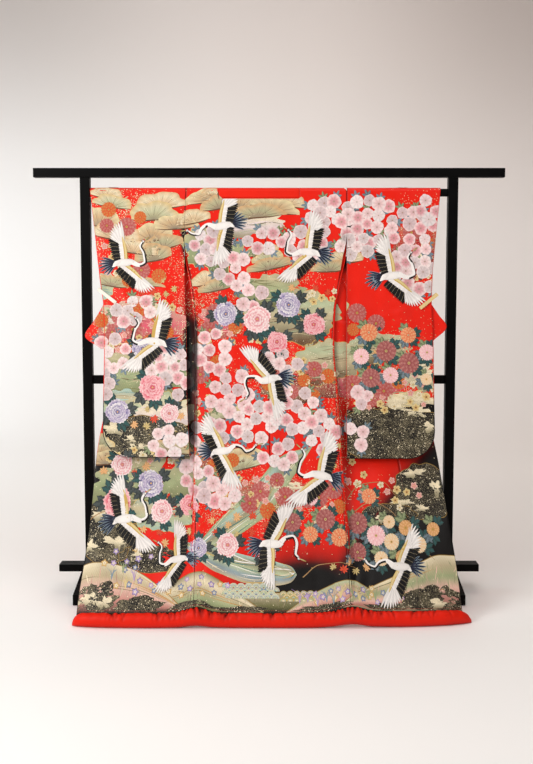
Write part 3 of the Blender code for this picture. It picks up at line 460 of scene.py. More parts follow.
class Nodes:  # a short way to write a node tree: sockets are linked, other values set
    def __init__(self, tree):
        self.tree = tree

    def fill(self, node, values):
        for key, value in values.items():
            if isinstance(value, bpy.types.NodeSocket):
                self.tree.links.new(value, node.inputs[key])
            else:
                node.inputs[key].default_value = value

    def add(self, kind, values, **settings):
        node = self.tree.nodes.new(kind)
        for key, value in settings.items():
            setattr(node, key, value)
        self.fill(node, values)
        return node.outputs

    def place(self):
        return self.add("ShaderNodeTexCoord", {})["Object"]

    def moved(self, at, **values):
        return self.add("ShaderNodeMapping", {"Vector": at, **values})[0]

    def attribute(self, name, output="Fac"):
        return self.add("ShaderNodeAttribute", {}, attribute_name=name)[output]

    def noise(self, at, scale, detail):
        return self.add("ShaderNodeTexNoise", {"Vector": at, "Scale": scale, "Detail": detail})["Fac"]

    def cells(self, at, scale, feature="F1"):  # the colour of each cell, and the distance from its middle
        found = self.add("ShaderNodeTexVoronoi", {"Vector": at, "Scale": scale}, feature=feature)
        return self.add("ShaderNodeSeparateColor", {"Color": found["Color"]}), found["Distance"]

    def remap(self, value, low, high, start=0.0, end=1.0, kind="LINEAR"):
        span = {"Value": value, "From Min": start, "From Max": end, "To Min": low, "To Max": high}
        return self.add("ShaderNodeMapRange", span, interpolation_type=kind)[0]

    def maths(self, kind, a, b=0.0):
        return self.add("ShaderNodeMath", {0: a, 1: b}, operation=kind)[0]

    def mix(self, share, a, b):
        return self.add("ShaderNodeMix", {"Factor": share, "A": a, "B": b}, data_type="RGBA")["Result"]

    def bump(self, height, strength, distance):
        return self.add("ShaderNodeBump", {"Height": height, "Strength": strength, "Distance": distance})[0]


def newMaterial(name):
    material = bpy.data.materials.new(name)
    material.use_nodes = True
    tree = material.node_tree
    return material, Nodes(tree), tree.nodes["Principled BSDF"]


def rgba(colour):
    return (*[float(c) for c in colour], 1.0)


silkLook = {
    "roughness": 0.4, "sheen": 0.02, "sheenRoughness": 0.35, "specular": 0.22, "leafShine": 0.35,
    "weave": 900.0, "weaveBump": 0.18, "figure": 26.0, "slub": 0.07, "twill": 0.55, "threads": 0.0,
    "leafCell": 300.0, "leafPatch": 40.0, "leafSize": 0.55, "leafPale": "cream", "leafDeep": "oldGold",
    "sparkCell": 250.0, "sparkShare": 0.0, "sparkSize": 0.42,
}


def silkMaterial(name, look):  # dyed satin: colour from the piece, gold leaf, a woven figure
    material, n, shader = newMaterial(name)
    place = n.place()
    gold = n.attribute("gold")
    slub = n.remap(n.noise(place, 7.0, 4.0), 1.0 - look["slub"], 1.0 + look["slub"])
    tint = n.attribute("tint", "Color")
    dyed = n.add("ShaderNodeVectorMath", {0: tint, "Scale": slub}, operation="SCALE")[0]
    # gold leaf: small cells thinned out by a coarser patchiness
    pick, away = n.cells(place, look["leafCell"])
    patchy = n.remap(n.noise(place, look["leafPatch"], 3.0), 0.35, 1.5, 0.38, 0.62)
    chosen = n.maths("LESS_THAN", pick["Red"], n.maths("MULTIPLY", gold, patchy))
    leaf = n.maths("MULTIPLY", chosen, n.maths("LESS_THAN", away, look["leafSize"]))
    pale, deep = (rgba(inks[look[key]]) for key in ("leafPale", "leafDeep"))
    colour = n.mix(leaf, dyed, n.mix(pick["Green"], pale, deep))
    if look["sparkShare"]:  # a few larger pale leaf flakes, painted a little brighter as if catching the light
        pick, away = n.cells(place, look["sparkCell"])
        lit = n.maths("LESS_THAN", pick["Blue"], n.maths("MULTIPLY", gold, look["sparkShare"]))
        spark = n.maths("MULTIPLY", lit, n.maths("LESS_THAN", away, look["sparkSize"]))
        colour = n.mix(spark, colour, rgba(inks["cream"] * 1.1))
    # woven figure shows only in the gloss
    _, figure = n.cells(place, look["figure"], "SMOOTH_F1")
    slanted = n.moved(place, Rotation=(0.0, look["twill"], 0.0))
    twill = n.add("ShaderNodeTexWave", {
        "Vector": slanted, "Scale": look["weave"] / 20, "Distortion": 0.6, "Detail": 1.0,
    }, bands_direction="X")["Fac"]
    relief = n.maths("ADD", twill, n.noise(place, look["weave"], 2.0))
    n.fill(shader, {
        "Base Color": colour,
        "Roughness": n.remap(figure, look["roughness"] - 0.07, look["roughness"] + 0.06, 0.2, 0.7),
        "Metallic": n.maths("MULTIPLY", leaf, look["leafShine"]),
        "Normal": n.bump(relief, look["weaveBump"] + look["threads"], 0.0004),
        "Sheen Weight": look["sheen"], "Sheen Roughness": look["sheenRoughness"],
        "Specular IOR Level": look["specular"],
    })
    return material


# dark is the colour that the painted shade mixes towards
liningLook = {
    "colour": "lining", "dark": (0.01, 0.003, 0.003), "roughness": 0.5, "sheen": 0.02,
    "sheenRoughness": 0.4, "specular": 0.16, "weave": 620.0, "weaveBump": 0.22,
}


def liningMaterial(name, look, shaded=True):  # plain red silk: lining, collar and hem roll; when shaded, it mixes in the painted shade of its 'shade' attribute
    material, n, shader = newMaterial(name)
    place = n.place()
    red = inks[look["colour"]]
    tone = n.mix(n.noise(place, 11.0, 5.0), rgba(red * 0.86), rgba(red * 1.08))
    # painted shade: the 'shade' attribute mixes the colour towards look['dark']
    if shaded:
        tone = n.mix(n.attribute("shade"), tone, rgba(look["dark"]))
    crepe = n.noise(place, look["weave"], 3.0)
    ribs = n.noise(n.moved(place, Scale=(1.0, 1.0, 4.0)), look["weave"] / 2, 2.0)
    n.fill(shader, {
        "Base Color": tone,
        "Roughness": n.remap(crepe, look["roughness"] - 0.06, look["roughness"] + 0.08),
        "Normal": n.bump(n.maths("ADD", crepe, ribs), look["weaveBump"], 0.0005),
        "Sheen Weight": look["sheen"], "Sheen Roughness": look["sheenRoughness"],
        "Specular IOR Level": look["specular"],
    })
    return material


lacquerLook = {
    "black": (0.0016, 0.0015, 0.0016), "dust": (0.0044, 0.004, 0.004), "roughness": 0.42, "specular": 0.05,
    "coat": 0.01, "coatRoughness": 0.22, "grainBump": 0.06,
}


def lacquerMaterial(name, look):  # satin black lacquer over softwood
    material, n, shader = newMaterial(name)
    along = n.moved(n.place(), Scale=(0.5, 1.0, 0.5))
    dust = n.noise(along, 38.0, 6.0)
    n.fill(shader, {
        "Base Color": n.mix(n.remap(dust, 0.0, 0.5, 0.45, 0.85), rgba(look["black"]), rgba(look["dust"])),
        "Roughness": n.remap(dust, look["roughness"] - 0.08, look["roughness"] + 0.16),
        "Normal": n.bump(n.noise(along, 220.0, 3.0), look["grainBump"], 0.0004),
        "Specular IOR Level": look["specular"],
        "Coat Weight": look["coat"], "Coat Roughness": look["coatRoughness"],
    })
    return material


pegLook = {
    "left": ("#f1ece2", "#d9cfbf"), "right": ("#e6d39c", "#bf9c5e"), "grain": 900.0, "bump": 0.15,
    "roughness": 0.58,
}


def pegMaterial(side, look):  # planed beech with a fine straight grain along the peg
    material, n, shader = newMaterial("pegWood" + side.title())
    tip, top = pegLine[side]
    slope = math.atan2(top[1] - tip[1], top[0] - tip[0])
    along = n.moved(n.moved(n.place(), Rotation=(0.0, slope, 0.0)), Scale=(0.12, 1.0, 1.0))
    grain = n.noise(along, look["grain"], 4.0)
    light, dark = (rgba(ink(code)) for code in look[side])
    n.fill(shader, {
        "Base Color": n.mix(grain, dark, light), "Normal": n.bump(grain, look["bump"], 0.0003),
        "Roughness": look["roughness"],
    })
    return material


silk = silkMaterial("brocadeSilk", silkLook)
threadLook = {
    **silkLook, "roughness": 0.5, "sheen": 0.03, "threads": 0.25, "leafCell": 900.0, "leafPatch": 16.0,
    "leafPale": "beige", "leafDeep": "drab", "sparkShare": 0.34,
}
needlework = silkMaterial("needleworkSilk", threadLook)
lining = liningMaterial("redLiningSilk", liningLook)
# the same lining without the painted slit shade
farLining = liningMaterial("redFarLining", liningLook, shaded=False)  # faces that look away from the slits
lacquer = lacquerMaterial("blackLacquer", lacquerLook)
print("materials ready")

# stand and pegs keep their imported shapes

for name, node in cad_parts.items():
    if name.startswith("stand_"):
        for slot in node.material_slots:
            slot.material = lacquer
for side in bothSides:
    wood = pegMaterial(side, pegLook)
    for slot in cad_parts["peg_" + side].material_slots:
        slot.material = wood

# cloth shells

shell = {
    "thickness": 0.0022, "row": 0.01, "fineRow": 0.0045, "neckRow": 0.008, "lapelRow": 0.01,
    "shoulderRow": 0.009, "lapelFrom": 1.48, "tuck": 0.007, "sleeveColumns": 46, "sleeveRows": 84,
    "tuckColumns": 20, "tuckRows": 23,
}
fineHeights = (0.36, 0.392, 0.69, 0.712, 1.055, 1.146)  # close rows where the cross folds lie
madePieces = {}


def linked(name, data):
    item = bpy.data.objects.new(name, data)
    scene.collection.objects.link(item)
    return item


def linkMesh(name, points, faces, edges=()):
    mesh = bpy.data.meshes.new(name)
    mesh.from_pydata(points.tolist(), edges, faces)
    if len(faces):
        mesh.validate()
    return linked(name, mesh)


def quadsOf(index, closed):  # the four corners of every cell in a grid of point numbers
    ahead = np.roll(index, -1, 1) if closed else index[:, 1:]
    here = index if closed else index[:, :-1]
    return np.stack([here[:-1], ahead[:-1], ahead[1:], here[1:]], -1)


# shade is painted shade, which the lining material mixes in
def paint(item, tint, gold, shade=None):
    colours = np.concatenate([tint, np.ones((len(tint), 1))], 1).astype(np.float32)
    layer = item.data.color_attributes.new("tint", "FLOAT_COLOR", "POINT")
    layer.data.foreach_set("color", colours.ravel())
    for name, values in (("gold", gold), ("shade", shade)):
        if values is not None:
            layer = item.data.attributes.new(name, "FLOAT", "POINT")
            layer.data.foreach_set("value", np.asarray(values, dtype=np.float32))


def clothPiece(name, grid, keep, flip, kind, extra=(), closed=False):
    grid = np.array(grid)
    rows, columns = grid.shape[:2]
    quads = quadsOf(np.arange(rows * columns).reshape(rows, columns), closed)[np.array(keep)]
    quads = np.concatenate([quads, np.array(extra, dtype=int).reshape(-1, 4)])
    if flip:
        quads = quads[:, ::-1]
    used = np.unique(quads)
    renumber = np.zeros(rows * columns, dtype=int)
    renumber[used] = np.arange(len(used))
    points = grid.reshape(-1, 3)[used]
    item = linkMesh(name, points, renumber[quads].tolist())
    x, y, z = points.T
    # the slit rows of painted shade reach only the near layer of a sleeve
    near = y < standPlane + nearDepth(z) + ripple(x, z) + layers["closed"] / 2
    tint, gold = groundTint(kind, x, z, near if kind == "sleeve" else 1.0)
    # painted shade in the arm slits goes into the 'shade' attribute
    paint(item, tint, gold, slitShade(kind, x, z))
    item.data.materials.append(lining if kind == "plain" else silk)
    item.data.materials.append(lining if kind == "sleeve" else farLining)
    item.data.shade_smooth()
    wall = item.modifiers.new("wall", "SOLIDIFY")
    wall.thickness = shell["thickness"]
    wall.offset = 0.0
    wall.use_even_offset = True
    wall.material_offset = 1
    wall.material_offset_rim = 1
    madePieces[name] = item


bodyColumns = (1, 8, 5, 8, 28)
neckColumns = 8
railAngles = np.radians(np.linspace(-78, 78, 9))


def heightsFrom(low, high):  # rows up the cloth, closer where it is creased across
    rows = between([low] + [h for h in fineHeights if low < h < high] + [high], shell["row"])
    fine = []
    for a, b in zip(rows, rows[1:]):
        inFold = any(s - 0.001 <= a and b <= e + 0.001 for s, e in zip(fineHeights[::2], fineHeights[1::2]))
        fine += between([a, b], shell["fineRow"] if inFold else shell["row"])[:-1]
    return fine + [high]


def tuckedIn(row):  # the lowest edge turned down into the hem roll
    x = row[:, 0]
    axis = np.stack([x, standPlane + rollLine["y"](x), rollLine["lift"](x) + rollLine["radius"](x)], -1)
    inward = axis - row
    return row + shell["tuck"] * inward / np.linalg.norm(inward, axis=1, keepdims=True)


def bodyHalf(side):  # one width of silk from the back hem over the rail to the front hem
    s, line = sign[side], bodyLine[side]
    columns, spare = sum(bodyColumns), neckColumns * 3
    even = np.linspace(0, 1, columns + 1)
    apart = 0.01 * np.arange(1, spare + 1) / 8  # unused points that fill the rows up past the neck opening
    grid, keep = [], []
    neck = front["neckEdge"][side] + drape["collar"] / 2
    heights = heightsFrom(hem["height"], front["neckDrop"])
    for height in heights + between([front["neckDrop"], drapeCentre], shell["neckRow"])[1:]:
        outer, middle = float(line["side"](height)), float(centreX(height))
        centre = s * middle + drape["seam"] / 2
        xs = np.concatenate([outer + (neck - outer) * even, neck + (centre - neck) * crowded(spare)[1:]])
        dips = seamDip(s * xs, middle) + seamDip(xs, outer)
        grid.append(hung(s * xs, nearDepth(height) + dips, height))
        keep.append([True] * columns + [height < front["neckDrop"] - 0.001] * spare)
    closed = [True] * columns + [False] * spare
    top = float(line["side"](drapeCentre))
    for angle in railAngles:
        grid.append(overRail(s * np.concatenate([top + (neck - top) * even, neck - apart]), angle))
        keep.append(closed)
    heights = heightsFrom(hem["height"], shell["lapelFrom"])
    heights += between([front["lapelTop"], drapeCentre], shell["lapelRow"])
    for height in heights[::-1]:
        plan, bodyEnd, _ = frontLimits(side, height)
        gap = drape["seam" if okumiWidth(height) > 0.0 else "collar"] / 2
        row = planPoints(side, plan, stations(0.0, bodyEnd - gap, plan["turns"], bodyColumns), height)
        grid.append(np.concatenate([row, row[-1:] + np.outer(apart, (s, 0.0, 0.0))]))
        keep.append(closed)
    grid = [tuckedIn(grid[0])] + grid + [tuckedIn(grid[-1])]
    clothPiece("body" + side.title(), grid, [keep[0]] + keep, s > 0, "body")


def okumi(side):  # the narrow front overlap
    inner, outer = 10, 12
    grid, keep = [], []
    lower = heightsFrom(hem["height"], front["collarEnd"] - front["notch"])
    for height in lower + heightsFrom(front["collarEnd"], front["okumiTip"] - 0.012):
        plan, start, collarStart = frontLimits(side, height)
        start += drape["seam"] / 2
        total = plan["length"]
        below = height < front["collarEnd"]
        notch = (total - front["collarWidth"] if below else collarStart) - drape["collar"] / 2
        places = start + (notch - start) * np.linspace(0, 1, inner + 1)
        places = np.concatenate([places, notch + (total - notch) * np.linspace(0, 1, outer + 1)[1:]])
        grid.append(planPoints(side, plan, places, height))
        keep.append([True] * inner + [height < lower[-1] - 0.0001] * outer)
    grid.insert(0, tuckedIn(grid[0]))
    clothPiece("okumi" + side.title(), grid, [keep[0]] + keep[:-1], sign[side] < 0, "body")


def collar():  # one band round the back of the neck and down both free front edges
    counts = (2, 8, 6)
    band = sum(counts)
    rows = []

    def bothHalves(make):
        left, right = make("left"), make("right")
        rows.append(np.concatenate([left, right[::-1][1:]]))

    def neckRow(lay):
        def half(side):
            centre = sign[side] * float(centreX(front["neckDrop"]))
            outer = front["neckEdge"][side] - drape["collar"] / 2
            inner = float(bodyLine[side]["edge"](front["lapelTop"]))
            xs = outer + (inner - outer) * np.linspace(0, 1, band + 1)
            xs = np.concatenate([xs, inner + (centre - inner) * np.linspace(0, 1, neckColumns + 1)[1:]])
            return lay(sign[side] * xs)
        bothHalves(half)

    for height in np.linspace(front["neckDrop"] + drape["collar"], drapeCentre, 5):
        neckRow(lambda x: hung(x, nearDepth(height), height))
    for angle in railAngles:
        neckRow(lambda x: overRail(x, angle))
    for height in np.linspace(drapeCentre, front["arch"], 4):
        neckRow(lambda x: hung(x, nearDepth(height) + layerGap(height), height))
    whole = len(rows) - 1

    def lapel(side):
        plan, _, start = frontLimits(side, height)
        places = stations(start + drape["collar"] / 2, plan["length"], plan["turns"][1:], counts)
        points = planPoints(side, plan, places, height)
        return np.concatenate([points, np.repeat(points[-1:], neckColumns, 0)])

    heights = [front["collarEnd"] + front["notch"]] + heightsFrom(0.812, shell["lapelFrom"])
    heights += [front["lapelTop"], 1.515]
    for height in heights[::-1]:
        bothHalves(lapel)
    full = [True] * (2 * (band + neckColumns))
    split = [True] * band + [False] * (2 * neckColumns) + [True] * band
    clothPiece("collarBand", rows, [full] * whole + [split] * (len(rows) - 1 - whole), False, "plain")


def sleeveGap(z, across):
    openGap = layerGap(z)
    outer = smooth((across - sleeveForm["closingStart"]) / (1.0 - sleeveForm["closingStart"]))
    outer = outer * (1.0 - smooth((z - sleeveForm["cuffEnd"]) / sleeveForm["cuffEase"]))
    return openGap + (layers["closed"] - openGap) * outer


def acrossSleeve(side, x, z):  # 0 at the inner edge of a sleeve, 1 at its outer edge
    inner, outer = sleeveLine[side]["inner"](z), sleeveLine[side]["outer"](z)
    return (x - inner) / (outer - inner)


def sleeveFloor(side, across):
    bottom, corner = sleeveForm["floor"][side], sleeveForm["corner"]
    width = sleeveLine[side]["outer"](bottom) - sleeveLine[side]["inner"](bottom)
    inside = np.clip(corner - (1.0 - across) * width, 0.0, corner)
    return np.minimum(bottom + corner - np.sqrt(corner**2 - inside**2), bottom + 0.98 * corner)


def farGap(side, z, across):  # whole distance between a sleeve's two layers
    gap = sleeveGap(z, across)
    closing = 1.0 - smooth((z - sleeveFloor(side, across)) / sleeveForm["closingHeight"])
    return gap + (layers["closed"] - gap) * closing


def sleeve(side):  # a bag over the rail, open at the cuff and along the inner edge
    s = sign[side]
    rings = []
    closer = [np.linspace(0.615, 0.72, 12), np.linspace(0.14, 0.2, 8)]  # rows where the cloth is pinched
    up = np.unique(np.concatenate([crowded(shell["sleeveRows"])] + closer))
    shoulder = np.array(between([front["armSlit"], drapeCentre], shell["shoulderRow"])[1:])
    for across in crowded(shell["sleeveColumns"]):
        floor = float(sleeveFloor(side, across))
        heights = np.concatenate([floor + (front["armSlit"] - floor) * up, shoulder])
        inner, outer = sleeveLine[side]["inner"](heights), sleeveLine[side]["outer"](heights)
        x = s * (inner + (outer - inner) * across)
        near = hung(x, nearDepth(heights), heights)
        far = hung(x, nearDepth(heights) + farGap(side, heights, across), heights)
        rings.append(np.concatenate([near, overRail(near[-1, 0], railAngles), far[::-1]]))
    count = len(rings[0])
    last = (len(rings) - 1) * count
    edge = [(last + k, last + k + 1, last + count - 2 - k, last + count - 1 - k)
            for k in range(int(np.searchsorted(up, sleeveForm["cuffCorner"])))]
    keep = np.ones((len(rings) - 1, count), dtype=bool)
    clothPiece("sleeve" + side.title(), rings, keep, s > 0, "sleeve", edge, closed=True)


def tuckDepth(side, x, z):
    across = np.minimum(acrossSleeve(side, x, z), 1.0)
    return nearDepth(z) + sleeveGap(z, across) + drape["wall"] + sleeveForm["tuckGap"]


def tuck(side):  # spare sleeve cloth standing out below the peg
    s = sign[side]
    grid = []
    even, heights = np.linspace(0, 1, shell["tuckColumns"] + 1), tuckRows[side]["height"]
    for height in np.linspace(heights[0], heights[-1], shell["tuckRows"] + 1):
        hidden = float(tuckLine[side]["hidden"](height))
        x = hidden + (float(tuckLine[side]["outer"](height)) - hidden) * even
        grid.append(hung(s * x, tuckDepth(side, x, height), height))
    keep = np.ones((len(grid) - 1, len(grid[0]) - 1), dtype=bool)
    clothPiece("sleeveTuck" + side.title(), grid, keep, s < 0, "tuck")


for side in bothSides:
    bodyHalf(side)
    okumi(side)
    sleeve(side)
    tuck(side)
collar()
print("cloth shells:", {n: len(p.data.polygons) for n, p in madePieces.items()})

# motifs: flat shapes of colour drawn round their own middle, in metres


def addGrid(motif, x, z, tint, lift=0.0, gold=0.0, closed=False, cap=False):
    x, z, lift = np.broadcast_arrays(x, z, lift)
    rows, columns = x.shape
    index = np.arange(rows * columns).reshape(rows, columns) + motif["count"]
    motif["quads"].append(quadsOf(index, closed).reshape(-1, 4))
    if cap:
        motif["caps"].append(index[0])
    motif["points"].append(np.stack([x, z, lift], -1).reshape(-1, 3))
    motif["tints"].append(np.broadcast_to(tint, (rows, columns, 3)).reshape(-1, 3))
    motif["gold"].append(np.broadcast_to(gold, (rows, columns)).reshape(-1))
    motif["count"] += rows * columns


def motifMaker(fill):  # the function fills a new motif, which is then ready to be placed
    def make(*given, **more):
        motif = {"points": [], "tints": [], "gold": [], "quads": [], "caps": [], "count": 0}
        fill(motif, *given, **more)
        for key in ("points", "tints", "gold", "quads"):
            motif[key] = np.concatenate(motif[key])
        motif["reach"] = float(np.hypot(motif["points"][:, 0], motif["points"][:, 1]).max())
        motif["thick"] = float(motif["points"][:, 2].max())
        return motif
    return make


def around(count):  # evenly spaced angles of a full turn
    return np.linspace(0.0, 2 * np.pi, count, endpoint=False)


def heading(angle):
    return np.array([math.cos(angle), math.sin(angle)])


def turned(along, side, angle):
    return along * math.cos(angle) - side * math.sin(angle), along * math.sin(angle) + side * math.cos(angle)


def sideways(line):  # the direction square to a line, at each of its points
    way = np.gradient(line, axis=0)
    way = way / np.maximum(np.hypot(way[:, 0], way[:, 1])[:, None], 1e-9)
    return np.stack([-way[:, 1], way[:, 0]], -1)


def addDisc(motif, steps, outline, tints, lift=0.0, gold=0.0, middle=(0.0, 0.0), lines=None):
    angle = around(len(outline))
    radius = np.outer(steps, outline)
    tint = np.array(tints)[:, None, :] * np.ones((1, len(outline), 1))
    if lines is not None:
        rows, every, dim = lines
        for row in rows:
            tint[row, ::every] *= dim
    x, z = middle[0] + radius * np.cos(angle), middle[1] + radius * np.sin(angle)
    addGrid(motif, x, z, tint, lift, gold, True, True)


def addRibbon(motif, line, widths, tint, lift=0.0, across=1, gold=0.0):
    line = np.asarray(line, dtype=float)
    side = sideways(line)
    spread = np.outer(np.ones(len(line)) * widths, np.linspace(-0.5, 0.5, across + 1))
    addGrid(motif, line[:, :1] + side[:, :1] * spread, line[:, 1:] + side[:, 1:] * spread, tint, lift, gold)


plumes = {
    "petal": (0.5, 0.82, 1.0, 0.8, 0.22), "primary": (0.7, 1.05, 0.92, 0.55, 0.14),
    "tail": (0.45, 0.85, 1.0, 0.62, 0.1),
}


def addFeather(motif, start, angle, length, width, base, tip, lift, bend=0.0, shape="petal"):
    t = np.array([0.0, 0.3, 0.62, 0.88, 1.0])
    step, way = np.diff(t, prepend=0.0) * length, angle + bend * t
    line = np.stack([start[0] + np.cumsum(step * np.cos(way)), start[1] + np.cumsum(step * np.sin(way))], -1)
    tint = base * (1.0 - t[:, None, None]) + tip * t[:, None, None]
    addRibbon(motif, line, width * np.array(plumes[shape]), tint, lift)


def arcLine(points, count):  # a smooth line through a few points
    points = np.array(points, dtype=float)
    t = np.linspace(0.0, 1.0, len(points))
    even = np.linspace(0.0, 1.0, count)
    return np.stack([curve(t, points[:, k])(even) for k in (0, 1)], -1)


def frill(count, parts):  # a round outline with small waves: (waves, height, phase)
    return 1.0 + sum(high * np.cos(waves * around(count) + phase) for waves, high, phase in parts)


def taper(count, low=0.1):
    return np.sin(np.linspace(low, math.pi - low, count))


def layered(names, place):  # a run of inks, read at places from 0 to 1
    run = np.array([inks[n] for n in names.split()])
    share = np.clip(place, 0.0, 1.0) * (len(run) - 1)
    low = np.clip(share.astype(int), 0, len(run) - 2)
    return blend(run[low], run[low + 1], share - low)


blossomLook = {
    "radius": 0.0252, "points": 24, "heart": 0.0017,
    "kinds": {
        "pink": "greyPink pink blush petal", "pale": "greyPink blush petal petal",
        "grey": "greyPink mauve mauve petal", "white": "mauve petal white petal",
    },
}


@motifMaker
def blossom(motif, look, kind, phase):  # double cherry blossom, frilled and pale at the rim
    heart, inner, outer, rim = (inks[name] for name in look["kinds"][kind].split())
    waves = ((8, 0.035, phase), (3, 0.035, 2 * phase), (5, 0.03, phase))
    outline = look["radius"] * frill(look["points"], waves)
    tints = [heart * 0.8, blend(heart, inner, 0.6), inner * 0.97, outer * 0.99, blend(outer, rim, 0.55), rim]
    addDisc(motif, (0.06, 0.16, 0.46, 0.76, 0.92, 1.0), outline, tints, lines=((2, 3, 4), 3, 0.84))
    addDisc(motif, (0.4, 1.0), np.full(6, look["heart"]), [inks["sage"], inks["gold"]], 0.00008)


def addLeaf(motif, start, angle, length, width, dark, light, lift=0.0, teeth=0.0):
    t = np.linspace(0.0, 1.0, 8)
    half = width / 2 * np.sin(np.pi * t**0.8) ** 0.9
    half = half * (1.0 + teeth * np.where(np.arange(8) % 2, 0.6, -0.4))
    x, z = turned(t[:, None] * length * np.ones((1, 3)), np.outer(half, (-1.0, 0.0, 1.0)), angle)
    tint = np.tile(np.stack([dark, light, dark * 0.6 + light * 0.4]), (8, 1, 1))
    addGrid(motif, start[0] + x, start[1] + z, tint, lift)


@motifMaker
def sprig(motif, dark, light, count, length, width, spread, teeth=0.0):  # a few leaves from one point
    for k in range(count):
        turn = k - (count - 1) / 2
        long = length * (1.0 - 0.14 * abs(turn))
        addLeaf(motif, (0.0, 0.0), turn * spread, long, width, dark, light, 0.00003 * k, teeth)


peonyLook = {
    "radius": 0.047, "bowl": 0.00076,
    "rings": (  # petals, start, end, half width
        (12, 0.52, 1.0, 0.33), (11, 0.38, 0.82, 0.31), (9, 0.24, 0.64, 0.3), (7, 0.12, 0.47, 0.27),
        (5, 0.0, 0.29, 0.22),
    ),
}


@motifMaker
def peony(motif, look, deep, mid, light, seed):  # rings of cupped petals with deep hollows between them
    draw = np.random.default_rng(seed)
    radius = look["radius"]
    rings = np.linspace(0.12, 0.88, 9)
    addDisc(motif, rings, radius * frill(24, ((5, 0.05, 0.3),)), [deep * 0.85] * len(rings))
    t = np.array([0.0, 0.4, 0.72, 0.9, 1.0])
    across = np.array([-1.0, -0.5, 0.0, 0.5, 1.0])
    notch = 0.05 * np.cos(across * 6.3) - 0.1 * np.abs(across) ** 2
    cup = np.outer(smooth((t - 0.4) / 0.55), 0.8 + 0.2 * np.abs(across))
    for level, (count, start, end, width) in enumerate(look["rings"]):
        for k in range(count):
            angle = 2 * np.pi * (k + 0.5 * (level % 2)) / count + draw.uniform(-0.14, 0.14)
            longer = draw.uniform(0.86, 1.1)
            half = radius * width * np.array([0.3, 0.75, 1.0, 0.9, 0.7]) * draw.uniform(0.85, 1.12)
            reach = radius * (start + (end * longer - start) * t)[:, None] * (1.0 + np.outer(t, notch))
            x, z = turned(reach, np.outer(half, across), angle)
            hue = blend(mid, light, np.full((5, 5), draw.uniform(0.25, 1.0)))
            lift = 0.00014 + 0.00012 * level + 0.00001 * (k % 4)
            addGrid(motif, x, z, blend(deep * (1.0 - 0.04 * level), hue, cup), lift)
    addDisc(motif, (0.3, 1.0), np.full(8, radius * 0.07), [inks["gold"], inks["apricot"]], look["bowl"])


@motifMaker
def chrysanthemum(motif, radius, deep, mid, light, heart):  # three rings of narrow, pale-tipped petals
    rings = np.linspace(0.12, 0.9, 8)
    addDisc(motif, rings, radius * frill(24, ((12, 0.02, 0.0),)), [deep * 0.8] * len(rings))
    for level, (count, start, end) in enumerate(((24, 0.5, 1.0), (20, 0.28, 0.78), (14, 0.1, 0.5))):
        for k in range(count):
            angle = 2 * np.pi * (k + 0.5 * level) / count
            tip = light if k % 2 else mid * 0.5 + light * 0.5
            addFeather(motif, radius * start * heading(angle), angle, radius * (end - start),
                       5.6 * radius * end / count, mid, tip, 0.00018 + 0.00013 * level + 0.00003 * (k % 2))
    addDisc(motif, (0.3, 1.0), np.full(9, radius * 0.14), [inks["oldGold"], heart], 0.00058)


@motifMaker
def fiveFlower(motif, radius, light, deep, heart):  # five round petals
    outline = radius * (0.62 + 0.4 * np.abs(np.cos(2.5 * around(30))) ** 0.6)
    tints = [deep, blend(deep, light, 0.6), light, light * 1.05]
    addDisc(motif, (0.12, 0.5, 0.88, 1.0), outline, tints, lines=((1,), 6, 0.75))
    addDisc(motif, (0.3, 1.0), np.full(8, radius * 0.2), [heart, heart * 0.8], 0.00006)


@motifMaker
def maple(motif, radius, deep, light):  # seven pointed lobes
    for k in range(7):
        angle = (k - 3) * 0.72
        long = radius * (1.0 - 0.1 * abs(k - 3))
        addLeaf(motif, (0.0, 0.0), angle, long, radius * 0.36, deep, light, 0.00002 * k)
    stalk = arcLine([(0, 0), (-radius * 0.3, 0.001), (-radius * 0.6, -0.003)], 5)
    addRibbon(motif, stalk, 0.0012, deep, 0.00016)


def addWing(motif, shoulder, angle, mirror, lift, span, fan):
    white, black = inks["white"], inks["black"]
    along = heading(angle)
    bone = along * 0.082 * span
    wrist = shoulder + bone
    back = angle + mirror * 1.72
    for k in range(13):  # black secondaries, every second one with a thin pale line
        share = (k + 0.2) / 13
        at = shoulder + bone * share
        way = back - mirror * 0.5 * share
        size = (0.05 + 0.014 * share) * span
        addFeather(motif, at, way, size, 0.0108 * span, black * 0.6, black, lift + 0.00002 * k)
        if k % 2:
            line = arcLine([at + heading(way) * size * 0.3, at + heading(way) * size * 0.96], 6)
            addRibbon(motif, line, 0.00075, inks["beige"] * 0.7, lift + 0.0003)
    for k in range(9):  # white primaries, a fan from the wrist
        way = angle - mirror * 0.12 + mirror * fan * k / 8
        size = (0.098 - 0.034 * (k / 8) ** 1.3) * span
        tone = white * (0.98 if k % 2 else 0.84)
        addFeather(motif, wrist - along * 0.012, way, size, 0.0112 * span, tone * 0.86, tone,
                   lift + 0.00028 + 0.00003 * (8 - k), mirror * 0.12, "primary")
    for k in range(9):  # short white coverts over the roots
        share = (k + 0.1) / 9
        addFeather(motif, shoulder + bone * share, back - mirror * 0.5 * share, 0.021 * span, 0.013 * span,
                   white * 0.95, white * (0.78 if k % 2 else 0.9), lift + 0.0006 + 0.00002 * (k % 2))
    across = np.array([along[1], -along[0]]) * mirror
    line = [shoulder - along * 0.004, shoulder + bone * 0.5 + across * 0.004, wrist + along * 0.02 * span]
    line = arcLine(line, 9)
    shape = np.array([0.6, 0.9, 1.0, 1.0, 1.0, 0.95, 0.85, 0.6, 0.2]) * span
    addRibbon(motif, line, 0.014 * shape, inks["gold"], lift + 0.00068)
    addRibbon(motif, line + across * 0.0012, 0.0075 * shape, inks["paleGold"], lift + 0.00073)


